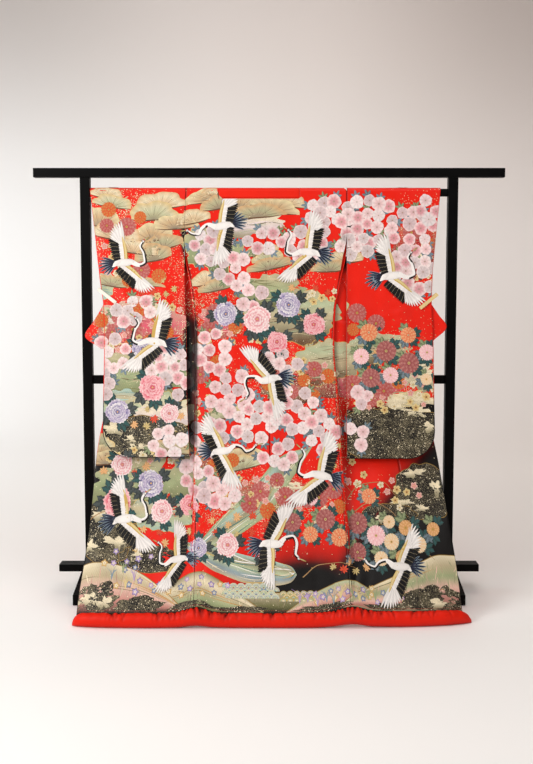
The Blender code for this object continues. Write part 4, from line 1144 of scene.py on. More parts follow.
@motifMaker
def crane(motif, pose):  # flying to the right
    span, white, navy = pose["span"], inks["white"], inks["navy"]
    for k in range(7):  # dark tail plumes, each over a pale edge
        angle = math.pi + (k - 3) * 0.2 + pose["tail"]
        size = 0.08 - 0.005 * abs(k - 3)
        tone = navy * (0.55 if k % 2 else 0.85)
        for long, wide, base, tip, lift in ((1.03, 0.0096, navy, inks["blueGrey"] * 1.3, 0.0),
                                            (1.0, 0.0066, tone * 0.6, tone, 0.00008)):
            lift += 0.00002 * k
            addFeather(motif, (-0.026, 0.002), angle, size * long, wide, base, tip, lift, 0.2, "tail")
    addWing(motif, (0.008, 0.006), pose["upper"], 1.0, 0.00016, span, pose["fan"])
    addWing(motif, (0.0, -0.006), pose["lower"], -1.0, 0.0002, span * 0.98, pose["fan"])
    body = around(22)
    shape = 0.044 / np.sqrt(np.cos(body) ** 2 + (np.sin(body) / 0.34) ** 2)
    addDisc(motif, (0.15, 0.6, 1.0), shape, [white * 0.96, white * 0.92, white * 0.76], 0.00098)
    for k in range(4):
        at = (-0.012 - 0.004 * k, 0.004 - 0.003 * k)
        addFeather(motif, at, math.pi - 0.1 + 0.12 * k, 0.026, 0.008, white * 0.8, white, 0.001)
    neck = arcLine(pose["neck"], 26)
    widths = np.interp(np.linspace(0, 1, 26), [0, 0.22, 1.0], [0.021, 0.0135, 0.0095])
    addRibbon(motif, neck, widths, white * 0.96, 0.00104)
    throat = (neck - sideways(neck) * widths[:, None] * 0.3)[5:]
    addRibbon(motif, throat, widths[5:] * 0.5, inks["black"] * 0.6, 0.00108)
    head, facing = neck[-1], pose["gaze"]
    addDisc(motif, (0.3, 1.0), np.full(12, 0.0062), [white * 0.9, inks["black"]], 0.00112, middle=head)
    addFeather(motif, head + (0.001, 0.003), facing, 0.007, 0.006, inks["crown"], inks["crown"], 0.00118)
    beak = head + heading(facing) * 0.004
    addFeather(motif, beak, facing, 0.026, 0.0046, inks["beak"], inks["oldGold"], 0.00115)


def cranePose(upper, lower, fan, span, tail, gaze, *neck):
    return {"upper": upper, "lower": lower, "fan": fan, "span": span, "tail": tail, "gaze": gaze,
            "neck": metres(neck)}


cranePoses = {  # both wings, spread, size, tail, gaze, then the line of the neck
    "glide": cranePose(1.62, -0.8, 1.0, 0.96, 0.05, 0.5, (26, 2), (62, -16), (86, -4), (84, 30), (73, 58),
                       (86, 78)),
    "climb": cranePose(1.95, -1.15, 1.1, 0.98, -0.2, 0.1, (26, 2), (56, 16), (82, 6), (100, -14), (124, -8),
                       (142, 10)),
    "bank": cranePose(1.1, -1.5, 0.95, 0.94, 0.25, -0.3, (26, -2), (50, 22), (78, 28), (94, 2), (90, -30),
                      (104, -46)),
}
pineInks = (
    "soil brown olive sage tan ochre", "soil olive sage mistGreen beige gold",
    "brown tan apricot beige cream ochre", "soot brown tan ochre beige paleGold",
)


@motifMaker
def pineCloud(motif, width, height, seed, tiers=3):  # clipped pine boughs as layered fans, dark at the foot
    draw = np.random.default_rng(seed)
    angle = np.linspace(0.0, math.pi, 34)
    steps = np.array([0.02, 0.26, 0.5, 0.72, 0.92, 1.0])
    for k in range(tiers):
        cx = width * (draw.uniform(-0.24, 0.24) + 0.2 * (k - 1))
        cz = height * (0.4 - 0.34 * k)
        wide, high = width * draw.uniform(0.3, 0.48), height * draw.uniform(0.34, 0.5)
        names = pineInks[int(draw.integers(len(pineInks)))]
        bumps = 1.0 + 0.16 * np.abs(np.sin(angle * 2.5 + seed)) + 0.03 * np.sin(angle * 9 + k)
        x = cx + np.outer(steps, wide * np.cos(angle) * bumps)
        z = cz + np.outer(steps, high * np.sin(angle) ** 0.8 * bumps) - 0.12 * high * (1 - steps)[:, None]
        tint = blend(layered(names, steps), inks["cream"], 0.3)[:, None, :]
        tint = tint * (1.0 + 0.09 * np.sin(angle * 17 + seed))[None, :, None]
        lift = 0.0001 * k
        addGrid(motif, x, z, tint, lift, 0.04)
        for n, a in enumerate(np.linspace(0.2, math.pi - 0.2, 19)):
            reach = draw.uniform(0.74, 0.94)
            far = (cx + reach * wide * math.cos(a), cz + reach * high * math.sin(a))
            near = (cx + 0.32 * wide * math.cos(a + 0.1), cz + 0.2 * high * math.sin(a))
            needle = inks["beige" if n % 4 else "brown"] * 0.9
            addRibbon(motif, arcLine([near, far], 5), 0.0009, needle, lift + 0.00005)
        under = ((-1.0, 0.0), (-0.4, 0.14), (0.4, 0.12), (1.0, 0.0))
        line = arcLine([(cx + wide * across, cz - high * drop) for across, drop in under], 16)
        addRibbon(motif, line, 0.005 * taper(16, 0.15), inks["brown"], lift + 0.00007, 2)


@motifMaker
def cloudBlob(motif, width, height, seed, names, gold=0.0, ragged=0.1, edge=None, streaks=0):
    draw = np.random.default_rng(seed)
    count = max(24, int(math.pi * (width + height) / 0.016))
    waves = [(w, ragged * draw.uniform(0.3, 1.0) / (1 + 0.1 * w), draw.uniform(0, 6.28))
             for w in (2, 3, 5, 7, 11, 15, 19)]
    shape = frill(count, waves)
    steps = np.linspace(0.0, 1.0, max(4, int(min(width, height) / 2 / 0.009)) + 1)
    steps[0] = 0.02
    x = np.outer(steps, shape * np.cos(around(count))) * width / 2
    z = np.outer(steps, shape * np.sin(around(count))) * height / 2
    mottle = 1.0 + 0.1 * np.sin(x * 90 + seed) * np.cos(z * 120 + 2 * seed)
    addGrid(motif, x, z, layered(names, z / height + 0.5) * mottle[..., None], 0.0, gold, True, True)
    if edge:
        rim = np.stack([x[-1], z[-1]], -1)
        addRibbon(motif, np.concatenate([rim, rim[:2]]), 0.0018, inks[edge], 0.00006)
    hues = names.split()
    for k in range(streaks):
        at = height * draw.uniform(-0.38, 0.38)
        half = width / 2 * math.sqrt(max(1 - (2 * at / height) ** 2, 0.05)) * draw.uniform(0.25, 0.7)
        mid = draw.uniform(-0.2, 0.2) * width
        xs = np.linspace(mid - half, mid + half, 22)
        path = np.stack([xs, at + 0.005 * np.sin(xs * 45 + k)], -1)
        wide = draw.uniform(0.0016, 0.0045) * taper(22)
        addRibbon(motif, path, wide, inks[hues[k % len(hues)]] * draw.choice([0.72, 1.12]), 0.00005)


@motifMaker
def stream(motif, line, widths, names, gold, crest, seed):  # a band of water with wave lines along it
    draw = np.random.default_rng(seed)
    count = 90
    middle = arcLine(line, count)
    wide = curve(np.linspace(0, 1, len(widths)), widths)(np.linspace(0, 1, count))
    along = 1.0 + 0.12 * np.sin(np.linspace(0, 23, count))
    tint = layered(names, np.linspace(0, 1, 15))[None, :, :] * along[:, None, None]
    addRibbon(motif, middle, wide, tint, 0.0, 14, gold)
    side, hues = sideways(middle), crest.split()
    for k in range(26):  # lines of current
        offset = draw.uniform(-0.46, 0.46) * wide + 0.006 * np.sin(np.linspace(0, 12, count) + k)
        start = int(draw.uniform(2, 66))
        path = (middle + side * offset[:, None])[start:start + int(draw.uniform(12, 24))]
        thin = draw.uniform(0.0014, 0.0034) * taper(len(path))
        addRibbon(motif, path, thin, inks[hues[k % len(hues)]], 0.00007)


@motifMaker
def scaleWaves(motif, columns, rows, size, names, line):  # blue-sea waves: overlapping fans in rows
    angle, hues = np.linspace(0.0, math.pi, 10), names.split()
    for r in range(rows):
        for c in range(columns):
            cx = (c - columns / 2 + 0.5 * (r % 2)) * size
            cz = (rows / 2 - r) * size * 0.42
            for n, share in enumerate((0.56, 0.4, 0.24)):
                x, z = size * share * np.cos(angle), size * share * np.sin(angle) * 0.9
                lift = 0.00004 * n + 0.00014 * r
                fan = cx + np.outer((0.03, 1.0), x), cz + np.outer((0.03, 1.0), z)
                addGrid(motif, *fan, inks[hues[(n + r) % len(hues)]], lift)
                addRibbon(motif, np.stack([cx + x, cz + z], -1), 0.0015, inks[line], lift + 0.00003)


@motifMaker
def hill(motif, rows, names, seed):  # one hill of the hem, its crest by rows
    draw = np.random.default_rng(seed)
    rows, foot = metres(rows), laying["hemTop"]
    left, right = rows[0][0], rows[-1][0]
    count = int((right - left) / 0.007)
    x = np.linspace(left, right, count)
    crest = curve(*zip(*rows))(x)
    share = np.linspace(0.0, 1.0, max(6, int((crest.max() - foot) / 0.008)) + 1)[:, None]
    z = foot + (crest[None, :] - foot) * share
    mottle = 1.0 + 0.13 * np.sin(x * 31 + seed + 3 * share) * np.cos(x * 13 + 5 * share)
    addGrid(motif, np.broadcast_to(x, z.shape), z, layered(names, share) * mottle[..., None], 0.0, 0.05)
    addRibbon(motif, np.stack([x, crest], -1), 0.0024, inks["oldGold"], 0.00006)
    for k in range(int(count * 1.1)):  # brush strokes down from the crest
        i = int(draw.uniform(2, count - 3))
        top = draw.uniform(0.45, 0.97)
        low = top - draw.uniform(0.1, 0.3)
        slant = draw.uniform(-0.012, 0.012)
        heights = foot + (crest[i] - foot) * np.array([low, (low + top) / 2, top])
        path = np.stack([x[i] + slant * np.array([1.0, 0.4, 0.0]), heights], -1)
        tone = layered(names, np.array(draw.uniform(0.3, 1.0))) * draw.choice([0.7, 0.85, 1.15])
        addRibbon(motif, path, draw.uniform(0.0012, 0.0034) * np.array([0.3, 1.0, 0.4]), tone, 0.00004)
    for k in range(7):
        a = int(draw.uniform(0, count * 0.7))
        b = min(a + int(draw.uniform(12, 40)), count - 1)
        if b - a > 8:
            line = np.stack([x, foot + (crest - foot) * draw.uniform(0.35, 0.92)], -1)[a:b]
            addRibbon(motif, line, 0.0017 * taper(len(line)), inks["olive" if k % 2 else "ochre"], 0.00007)


@motifMaker
def bellflower(motif, radius, light, deep):  # five points, a pale star in the middle
    points = np.cos(5 * around(20))
    addDisc(motif, (0.15, 0.55, 1.0), radius * (0.8 + 0.2 * points), [inks["white"], light, deep])
    addDisc(motif, (0.3, 1.0), radius * (0.28 + 0.16 * points), [inks["gold"], inks["white"]], 0.00006)


@motifMaker
def grass(motif, count, length, tint, seed, spread=0.5):  # arching blades from one foot
    draw = np.random.default_rng(seed)
    for k in range(count):
        lean = draw.uniform(-spread, spread)
        tall = length * draw.uniform(0.6, 1.0)
        tip = (lean * tall * 1.3, tall * draw.uniform(0.7, 1.0))
        line = arcLine([(0, 0), (lean * tall * 0.4, tall * 0.6), tip], 12)
        addRibbon(motif, line, 0.0026 * np.linspace(1.0, 0.25, 12), tint, 0.00003 * k)


@motifMaker
def twig(motif, line, width, tint):  # a branch that thins towards its tip
    addRibbon(motif, arcLine(line, 26), width * np.linspace(1.0, 0.35, 26), tint, 0.0, 2)


# laying motifs on the panels of the garment

laying = {
    "first": 0.0014, "apart": 0.00006, "seam": 0.0002, "hemTop": 0.0505,
    "liftPerZone": 0.00009, "flowers": 0.0014, "foldClear": 0.012, "foldPinch": 0.37, "foldReach": 0.05,
    "overFront": 1.19, "overOkumi": 0.76, "overRidge": 1.18, "overShoulder": 0.16, "underNeck": 0.002,
    "sleeveEdge": 0.0016, "sleeveFoot": 0.0014, "okumiEdge": 0.0014, "tuckEdge": 0.0012, "underSleeve": 0.012,
    "same": 1e-7,  # a point that keepIn moved less than this lies on the panel
}
firstArc = 26  # points of a front's plan up to the end of its first turn


def depthTable(side, top, rows, columns, part):  # depths of one part of a front, by height and across it
    heights, across = np.linspace(hem["height"], top, rows), np.linspace(0.0, 1.0, columns)
    found = []
    for z in heights:
        plan = frontPlan(side, z)
        xs, ys = np.array(plan["x"]), np.array(plan["y"])
        folded = math.radians(float(bodyLine[side]["turn"](z))) > math.pi / 2
        low, high, run = part(xs, folded)
        found.append((low, high, np.interp(low + (high - low) * across, xs[run], ys[run])))
    return [heights] + [np.array(values) for values in zip(*found)]


def visiblePart(xs, folded):  # beyond the side fold, up to the free edge
    start = firstArc - 1 + int(np.argmin(xs[firstArc - 1:])) if folded else 0
    return xs[:firstArc + 1].max() + 0.0015 if folded else xs[0] + 0.001, xs[-1], slice(start, None)


def ridgePart(xs, folded):  # the narrow round where the side seam turns forward, before the front folds back
    crest = int(np.argmax(xs[:firstArc]))
    return xs[0] + 0.0002, xs[crest] - 0.0004 if folded else xs[0] + 0.0003, slice(0, crest + 1)


frontTables = {side: depthTable(side, 1.205, 160, 70, visiblePart) for side in bothSides}
ridgeTables = {side: depthTable(side, 1.185, 150, 14, ridgePart) for side in bothSides}


def tableDepth(table, x, z):
    heights, inner, edge, depth = table
    low, high = np.interp(z, heights, inner), np.interp(z, heights, edge)
    u = np.clip((x - low) / (high - low), 0.0, 1.0) * (depth.shape[1] - 1)
    row = np.clip((z - heights[0]) / (heights[1] - heights[0]), 0.0, len(heights) - 1.001)
    i, j = row.astype(int), np.clip(u.astype(int), 0, depth.shape[1] - 2)
    a, b = row - i, u - j
    top = depth[i + 1, j] * (1 - b) + depth[i + 1, j + 1] * b
    return (depth[i, j] * (1 - b) + depth[i, j + 1] * b) * (1 - a) + top * a


def layWidth(x, t, out, gap):  # near side, round of the rail, far side
    near = hung(x, nearDepth(np.minimum(t, drapeCentre)) - out, np.minimum(t, drapeCentre))
    over = overRail(x, -math.pi / 2 + (t - drapeCentre) / drapeRadius, out)
    z = drapeCentre - (np.maximum(t, farStart) - farStart)
    far = hung(x, nearDepth(z) + gap(x, z) + out, z)
    return np.where((t <= drapeCentre)[:, None], near, np.where((t >= farStart)[:, None], far, over))


panels = {}


def addPanel(name, piece, side, keepIn, lay):
    panels[name + side.title()] = {
        "piece": piece + side.title(), "keepIn": keepIn, "lay": lay,
        "points": [], "tints": [], "gold": [], "faces": [], "count": 0,
    }


def hungAt(side, depth, given):
    return lambda x, t, out: hung(x, depth(given, sign[side] * x, t) - out, t)


def backPanel(side):
    s = sign[side]

    def keepIn(x, t):
        z = np.minimum(t, drapeCentre)
        centre, outer = centreX(z) + s * laying["seam"], s * (bodyLine[side]["side"](z) - laying["seam"])
        x = np.clip(x, np.minimum(centre, outer), np.maximum(centre, outer))
        underCollar = s * x < front["neckEdge"][side] + laying["underNeck"]
        neck, shoulder = front["neckDrop"] - laying["underNeck"], farStart + laying["overShoulder"]
        return x, np.clip(t, laying["hemTop"], np.where(underCollar, neck, shoulder))

    addPanel("back", "body", side, keepIn, lambda x, t, out: layWidth(x, t, out, lambda px, pz: layerGap(pz)))


def sleevePanel(side):
    s = sign[side]

    def keepIn(x, t):
        z = np.where(t > farStart, drapeCentre - (t - farStart), np.minimum(t, drapeCentre))
        inner = sleeveLine[side]["inner"](z) + laying["seam"]
        outer = sleeveLine[side]["outer"](z) - laying["sleeveEdge"]
        x = s * np.clip(s * x, inner, outer)
        across = np.clip((s * x - inner) / (outer - inner), 0.0, 1.0)
        low = sleeveFloor(side, across) + laying["sleeveFoot"]
        return x, np.clip(t, low, farStart + drapeCentre - low)

    def gap(x, z):
        return farGap(side, z, np.clip(acrossSleeve(side, s * x, z), 0.0, 1.0))

    addPanel("sleeve", "sleeve", side, keepIn, lambda x, t, out: layWidth(x, t, out, gap))


def frontPanel(side, part):
    s = sign[side]
    heights, inner, edge, _ = frontTables[side]

    def keepIn(x, t):
        t = np.clip(t, laying["hemTop"], laying["overOkumi" if part == "okumi" else "overFront"])
        free = np.interp(t, heights, edge)
        seam = free - front["okumi"]
        if part == "okumi":
            return s * np.clip(s * x, seam + laying["seam"], free - laying["okumiEdge"]), t
        pinched = np.exp(-(((t - laying["foldPinch"]) / laying["foldReach"]) ** 2))
        low = np.interp(t, heights, inner) + 0.0004 + laying["foldClear"] * pinched
        hidden = sleeveLine[side]["inner"](t) + laying["underSleeve"] + 0.6 * smooth((0.64 - t) / 0.02)
        high = np.maximum(np.minimum(seam - laying["seam"], hidden), low + 0.0001)
        return s * np.clip(s * x, low, high), t

    piece = "body" if part == "front" else part
    addPanel(part, piece, side, keepIn, hungAt(side, tableDepth, frontTables[side]))


def ridgePanel(side):
    s = sign[side]
    heights, low, high, _ = ridgeTables[side]

    def keepIn(x, t):
        t = np.clip(t, laying["hemTop"], laying["overRidge"])
        return s * np.clip(s * x, np.interp(t, heights, low), np.interp(t, heights, high)), t

    addPanel("ridge", "body", side, keepIn, hungAt(side, tableDepth, ridgeTables[side]))


def tuckPanel(side):
    s, heights = sign[side], tuckRows[side]["height"]

    def keepIn(x, t):
        t = np.clip(t, heights[0] + 0.001, heights[-1] - 0.001)
        outer = tuckLine[side]["outer"](t) - laying["tuckEdge"]
        return s * np.clip(s * x, sleeveLine[side]["outer"](t) - laying["underSleeve"], outer), t

    addPanel("tuck", "sleeveTuck", side, keepIn, hungAt(side, tuckDepth, side))


for side in bothSides:
    backPanel(side)
    ridgePanel(side)
    sleevePanel(side)
    frontPanel(side, "front")
    frontPanel(side, "okumi")
    tuckPanel(side)
laidDown = []


def place(motif, x, t, size=1.0, turn=0.0, flip=False, level=None, only=None, tone=1.0):
    points = motif["points"]
    cx, cz = turned(points[:, 0] * (-size if flip else size), points[:, 1] * size, turn)
    cx, cz = x + cx, t + cz
    reach = motif["reach"] * size
    if level is None:
        base = laying["first"] + laying["flowers"]
        for ox, oz, otherReach, top in laidDown:
            if math.hypot(ox - x, oz - t) < (reach + otherReach) * 0.92:
                base = max(base, top + laying["apart"])
        laidDown.append((x, t, reach, base + motif["thick"]))
    else:
        base = laying["first"] + laying["liftPerZone"] * level
    out = base + points[:, 2]
    for name in [only] if only else panels:
        panel = panels[name]
        kx, kt = panel["keepIn"](cx, cz)
        inside = (np.abs(kx - cx) < laying["same"]) & (np.abs(kt - cz) < laying["same"])
        if not inside.any():
            continue
        quads = motif["quads"][inside[motif["quads"]].any(1)]
        caps = [cap for cap in motif["caps"] if inside[cap].any()]
        here = panel["lay"](kx, kt, out)
        outward = panel["lay"](kx, kt, out + 0.001) - here
        used = np.unique(np.concatenate([quads.ravel()] + caps).astype(int))
        renumber = np.full(len(points), -1)
        renumber[used] = np.arange(len(used)) + panel["count"]
        a, b, c, d = (here[quads[:, k]] for k in range(4))
        normal = np.cross(c - a, d - b)
        whole = np.linalg.norm(normal, axis=1) > 1e-9
        quads = quads[whole]
        wrong = (normal[whole] * outward[quads[:, 0]]).sum(1) < 0
        quads = np.where(wrong[:, None], quads[:, ::-1], quads)
        panel["faces"] += renumber[quads].tolist()
        for cap in caps:
            ring = here[cap] - here[cap].mean(0)
            facing = np.cross(ring, np.roll(ring, -1, 0)).sum(0)
            cap = cap if (facing * outward[cap[0]]).sum() > 0 else cap[::-1]
            if np.linalg.norm(facing) > 1e-9:
                panel["faces"].append(renumber[cap].tolist())
        panel["points"].append(here[used])
        # the painted shade beside the sleeves darkens the motifs there too
        light = np.ones(len(used))
        if not name.startswith(("sleeve", "tuck")):
            light = hollowLight(here[used, 0], here[used, 2])
        panel["tints"].append(motif["tints"][used] * tone * light[:, None])
        panel["gold"].append(motif["gold"][used])
        panel["count"] += len(used)


zoneInks = {
    "mist": "beige cream paleGold", "sand": "brown drab beige mistGreen beige", "night": "soot black soot",
    "cream": "drab cream cream", "sea": "paleTeal mistGreen beige paleTeal", "moor": "olive sage beige",
    "fog": "drab mauve cream mistGreen", "dusk": "crimson rose shell", "ember": "wine crimson red",
}
zones = metres([  # x, height, width, tall, inks, gold, raggedness, level, edge
    (-500, 1050, 340, 190, "dusk", 0.45, 0.16, 0, None), (-600, 1075, 130, 90, "fog", 0.12, 0.22, 1, None),
    (-635, 1200, 100, 90, "sea", 0.1, 0.14, 1, "paleGold"),
    (-490, 860, 360, 190, "moor", 0.12, 0.16, 0, None), (-400, 720, 240, 150, "fog", 0.1, 0.18, 1, "gold"),
    (-560, 760, 200, 90, "sea", 0.1, 0.18, 2, None), (-215, 1335, 200, 190, "moor", 0.1, 0.16, 0, "paleGold"),
    (-80, 1440, 260, 110, "fog", 0.08, 0.16, 0, None), (90, 1080, 400, 190, "sand", 0.1, 0.14, 0, "gold"),
    (5, 1180, 260, 120, "moor", 0.1, 0.18, 1, None), (225, 910, 260, 170, "sand", 0.15, 0.14, 0, "gold"),
    (110, 835, 320, 140, "ember", 0.55, 0.16, 0, None), (-180, 1060, 200, 120, "dusk", 0.4, 0.18, 0, None),
    (-190, 560, 220, 120, "ember", 0.5, 0.18, 0, None), (420, 960, 260, 110, "sand", 0.18, 0.16, 0, None),
    (385, 820, 240, 110, "dusk", 0.4, 0.18, 0, None), (560, 1330, 160, 200, "ember", 0.45, 0.16, 0, None),
    (570, 865, 140, 110, "cream", 0.25, 0.26, 2, None), (520, 770, 200, 60, "mist", 0.3, 0.32, 2, None),
    (-15, 430, 340, 130, "ember", 0.6, 0.16, 0, None), (-60, 395, 170, 60, "mist", 0.3, 0.22, 1, "gold"),
    (60, 455, 120, 36, "cream", 0.2, 0.3, 2, None), (-500, 470, 320, 190, "moor", 0.12, 0.16, 1, None),
    (-400, 360, 240, 120, "sea", 0.1, 0.18, 2, "gold"), (-300, 480, 160, 180, "moor", 0.1, 0.16, 0, None),
])
nightBands = metres([  # leaf-strewn black: x, height, width, tall, how strewn, the only panel
    (-500, 612, 520, 190, 0.3, "sleeveLeft"), (470, 640, 480, 205, 0.33, "sleeveRight"),
    (-600, 300, 230, 200, 0.34, None), (-430, 215, 240, 90, 0.3, None), (580, 435, 240, 190, 0.26, None),
    (440, 360, 200, 70, 0.26, None),
])
patches = metres([  # pale ragged spots on the black: x, height, width, tall
    (-585, 665, 100, 45), (-450, 600, 130, 40), (-375, 655, 70, 30), (-520, 625, 50, 30), (555, 725, 100, 45),
    (600, 670, 50, 40), (480, 745, 70, 28), (-625, 360, 70, 45), (-560, 270, 90, 40), (-480, 225, 60, 35),
    (-650, 255, 50, 40), (540, 500, 90, 35), (620, 450, 50, 50), (490, 400, 80, 30), (565, 380, 50, 25),
    (410, 345, 50, 26),
])
for k, (x, z, wide, tall, name, gold, ragged, level, edge) in enumerate(zones):
    place(cloudBlob(wide, tall, 40 + k, zoneInks[name], gold, ragged, edge, 16), x, z, level=level)
for k, (x, z, wide, tall, gold, only) in enumerate(nightBands):
    place(cloudBlob(wide, tall, 7 + k, zoneInks["night"], gold, 0.07, "oldGold"), x, z, level=2, only=only)
for k, (x, z, wide, tall) in enumerate(patches):
    place(cloudBlob(wide * 0.8, tall * 0.8, 30 + k, zoneInks["cream"], 0.25, 0.42), x, z, level=3)
print("zones laid:", {n: p["count"] for n, p in panels.items()})

pines = metres([  # x, height, width, tall, tiers, flip
    (-575, 1370, 200, 120, 3, False), (-440, 1330, 190, 110, 3, True), (-400, 1450, 200, 120, 3, False),
    (-600, 1495, 160, 90, 2, False), (-235, 1480, 200, 100, 3, True), (-90, 1490, 220, 110, 3, False),
    (60, 1470, 200, 90, 2, True), (-235, 1170, 160, 90, 2, False), (230, 1250, 170, 90, 2, True),
    (-570, 1190, 200, 70, 2, True), (-100, 520, 180, 80, 2, False), (-630, 560, 150, 90, 3, False),
    (-330, 575, 170, 70, 2, True), (5, 1290, 170, 90, 3, False), (-170, 700, 150, 70, 2, True),
])
for k, (x, z, wide, tall, tiers, flip) in enumerate(pines):
    place(pineCloud(wide, tall, k + 3, tiers), x, z, turn=(-0.16, 0.2, 0.06)[k % 3], level=5, flip=flip)

currents = [  # line, widths, inks, gold
    ([(-280, 240), (-160, 315), (-30, 415), (60, 525), (160, 600)], (0.003, 0.08, 0.1, 0.085, 0.002),
     "sage mistGreen drab paleTeal sage", 0.1),
    ([(98, 168), (78, 169), (-40, 178), (-180, 215), (-330, 270)], (0.004, 0.05, 0.088, 0.08, 0.002),
     "paleTeal drab mistGreen blueGrey beige", 0.06),
]
for k, (line, widths, names, gold) in enumerate(currents):
    water = stream(metres(line), widths, names, gold, "white gold teal cream", 21 + k)
    place(water, 0.0, 0.0, level=6 + k)

hills = [  # crest rows, inks from the foot up, level
    ([(-720, 105), (-450, 120), (-200, 100), (50, 112), (350, 100), (720, 115)], "soot olive drab beige", 7),
    ([(-720, 175), (-620, 205), (-500, 185), (-380, 120), (-300, 52)], "soot dustyRose shell beige cream", 9),
    ([(-460, 52), (-340, 140), (-240, 170), (-120, 115), (-20, 52)], "olive sage beige cream drab", 8),
    ([(60, 52), (150, 105), (270, 140), (380, 105), (520, 52)], "soil dustyRose shell beige mistGreen", 8),
    ([(240, 52), (340, 110), (440, 155), (540, 200), (620, 225), (720, 220)],
     "drab dustyRose shell sage beige cream", 9),
]
for k, (rows, names, level) in enumerate(hills):
    place(hill(rows, names, 60 + k), 0.0, 0.0, level=level)
place(scaleWaves(7, 4, 0.027, "paleTeal blueGrey mistGreen", "cream"), -0.06, 0.105, level=10)
place(scaleWaves(5, 3, 0.024, "paleTeal cream sage", "gold"), 0.11, 0.09, level=10)
footPatches = metres([  # x, height, width, tall
    (-620, 95, 170, 85), (-460, 75, 160, 50), (590, 85, 220, 85), (200, 60, 220, 22), (-280, 62, 160, 24),
    (420, 62, 140, 24), (-100, 60, 180, 18),
])
for k, (x, z, wide, tall) in enumerate(footPatches):
    place(cloudBlob(wide, tall, 90 + k, zoneInks["night"], 0.34, 0.18), x, z, level=11)
palePatches = metres([(-645, 90, 60, 40), (-585, 80, 50, 30), (600, 70, 60, 25)])
for k, (x, z, wide, tall) in enumerate(palePatches):
    place(cloudBlob(wide, tall, 95 + k, zoneInks["cream"], 0.2, 0.45), x, z, level=11.5)
print("hills and water laid")

draw = np.random.default_rng(11)
muted = {
    "teal": (inks["blueGrey"] * 0.55, inks["blueGrey"] * 0.9),
    "grey": (inks["slate"] * 2.2, inks["blueGrey"] * 0.8),
    "moss": (inks["moss"], inks["sage"] * 0.9), "slate": (inks["slate"] * 0.8, inks["slate"] * 2.4),
    "deep": (inks["slate"], inks["teal"] * 0.55),
}
cherryLeaf = [sprig(*muted[n], 3, 0.028, 0.0105, 0.85, 0.3) for n in ("teal", "grey", "moss")]
darkLeaf = [sprig(*muted[n], 3, 0.05, 0.022, 0.62, 0.45) for n in ("slate", "deep")]
mumLeaf = [sprig(*muted[n], 3, 0.036, 0.019, 0.8, 0.5) for n in ("deep", "moss", "grey")]
blossoms = [blossom(blossomLook, kind, phase) for kind, phase in (
    ("pink", 0.0), ("pale", 1.1), ("grey", 2.3), ("white", 0.7), ("pale", 2.9), ("pink", 1.9), ("grey", 0.4),
)]
def shades(text):  # inks by name, each with a factor after it when it is dimmed or lifted
    found = []
    for word in text.split():
        name, _, factor = word.partition("*")
        found.append(inks[name] * float(factor or 1.0))
    return found


ghostMums = [chrysanthemum(0.034, *shades("red*0.8 crimson dustyRose gold")),
             chrysanthemum(0.03, *shades("red*0.9 red*0.8 ochre gold"))]
smallFlowers = [fiveFlower(0.0145, *shades("cream beige gold")),
                fiveFlower(0.013, *shades("shell rose paleGold")),
                fiveFlower(0.015, *shades("paleGold ochre brown"))]
maples = [maple(0.022, *shades("ochre apricot")), maple(0.02, *shades("crimson orange")),
          maple(0.02, *shades("oldGold paleGold"))]


def scatter(x, z, wide, tall, count, apart):  # spots inside an ellipse, not closer than asked
    spots = []
    for _ in range(600):
        if len(spots) == count:
            break
        angle, far = draw.uniform(0, 2 * math.pi), math.sqrt(draw.uniform(0, 1))
        spot = (x + wide * far * math.cos(angle), z + tall * far * math.sin(angle))
        if all(math.dist(spot, s) > apart for s in spots):
            spots.append(spot)
    return spots


# behind the main flowers: motifs, least distance, level, then x, height, half width, half tall, how many
fillers = [
    (ghostMums, 0.055, 9, [
        (-500, 1040, 150, 80, 9), (-560, 1450, 100, 60, 4), (-170, 1060, 90, 50, 4), (120, 835, 140, 60, 7),
        (-190, 560, 100, 50, 4), (0, 430, 150, 55, 7), (390, 820, 110, 50, 5), (550, 1330, 70, 90, 5),
        (-250, 900, 60, 120, 4), (190, 420, 80, 60, 3), (360, 1060, 60, 40, 3), (-460, 1230, 100, 30, 3),
    ]),
    (smallFlowers, 0.027, 12.5, [
        (-420, 1100, 90, 60, 12), (-560, 1000, 90, 50, 12), (-600, 1300, 60, 60, 8), (-120, 1000, 120, 40, 9),
        (140, 870, 120, 50, 12), (-60, 450, 130, 50, 16), (140, 380, 100, 60, 9), (560, 800, 60, 60, 12),
        (400, 760, 90, 30, 8), (590, 1260, 40, 100, 10), (-250, 760, 50, 50, 5), (470, 430, 100, 50, 10),
        (-480, 560, 140, 30, 12), (340, 490, 50, 60, 5), (200, 1160, 70, 30, 6),
    ]),
    (maples, 0.036, 12, [
        (-420, 1190, 80, 30, 5), (230, 560, 50, 60, 4), (-100, 330, 140, 35, 8), (-400, 290, 120, 40, 7),
        (-560, 520, 120, 30, 6), (130, 1165, 100, 30, 5), (440, 900, 130, 60, 7), (-470, 700, 150, 40, 7),
        (300, 190, 80, 20, 5),
    ]),
]
for choices, apart, level, spots in fillers:
    for spot in metres(spots):
        for k, (sx, sz) in enumerate(scatter(*spot, apart)):
            motif = choices[int(draw.integers(len(choices)))]
            place(motif, sx, sz, draw.uniform(0.8, 1.1), draw.uniform(0, 6.28), level=level + 0.3 * (k % 3))

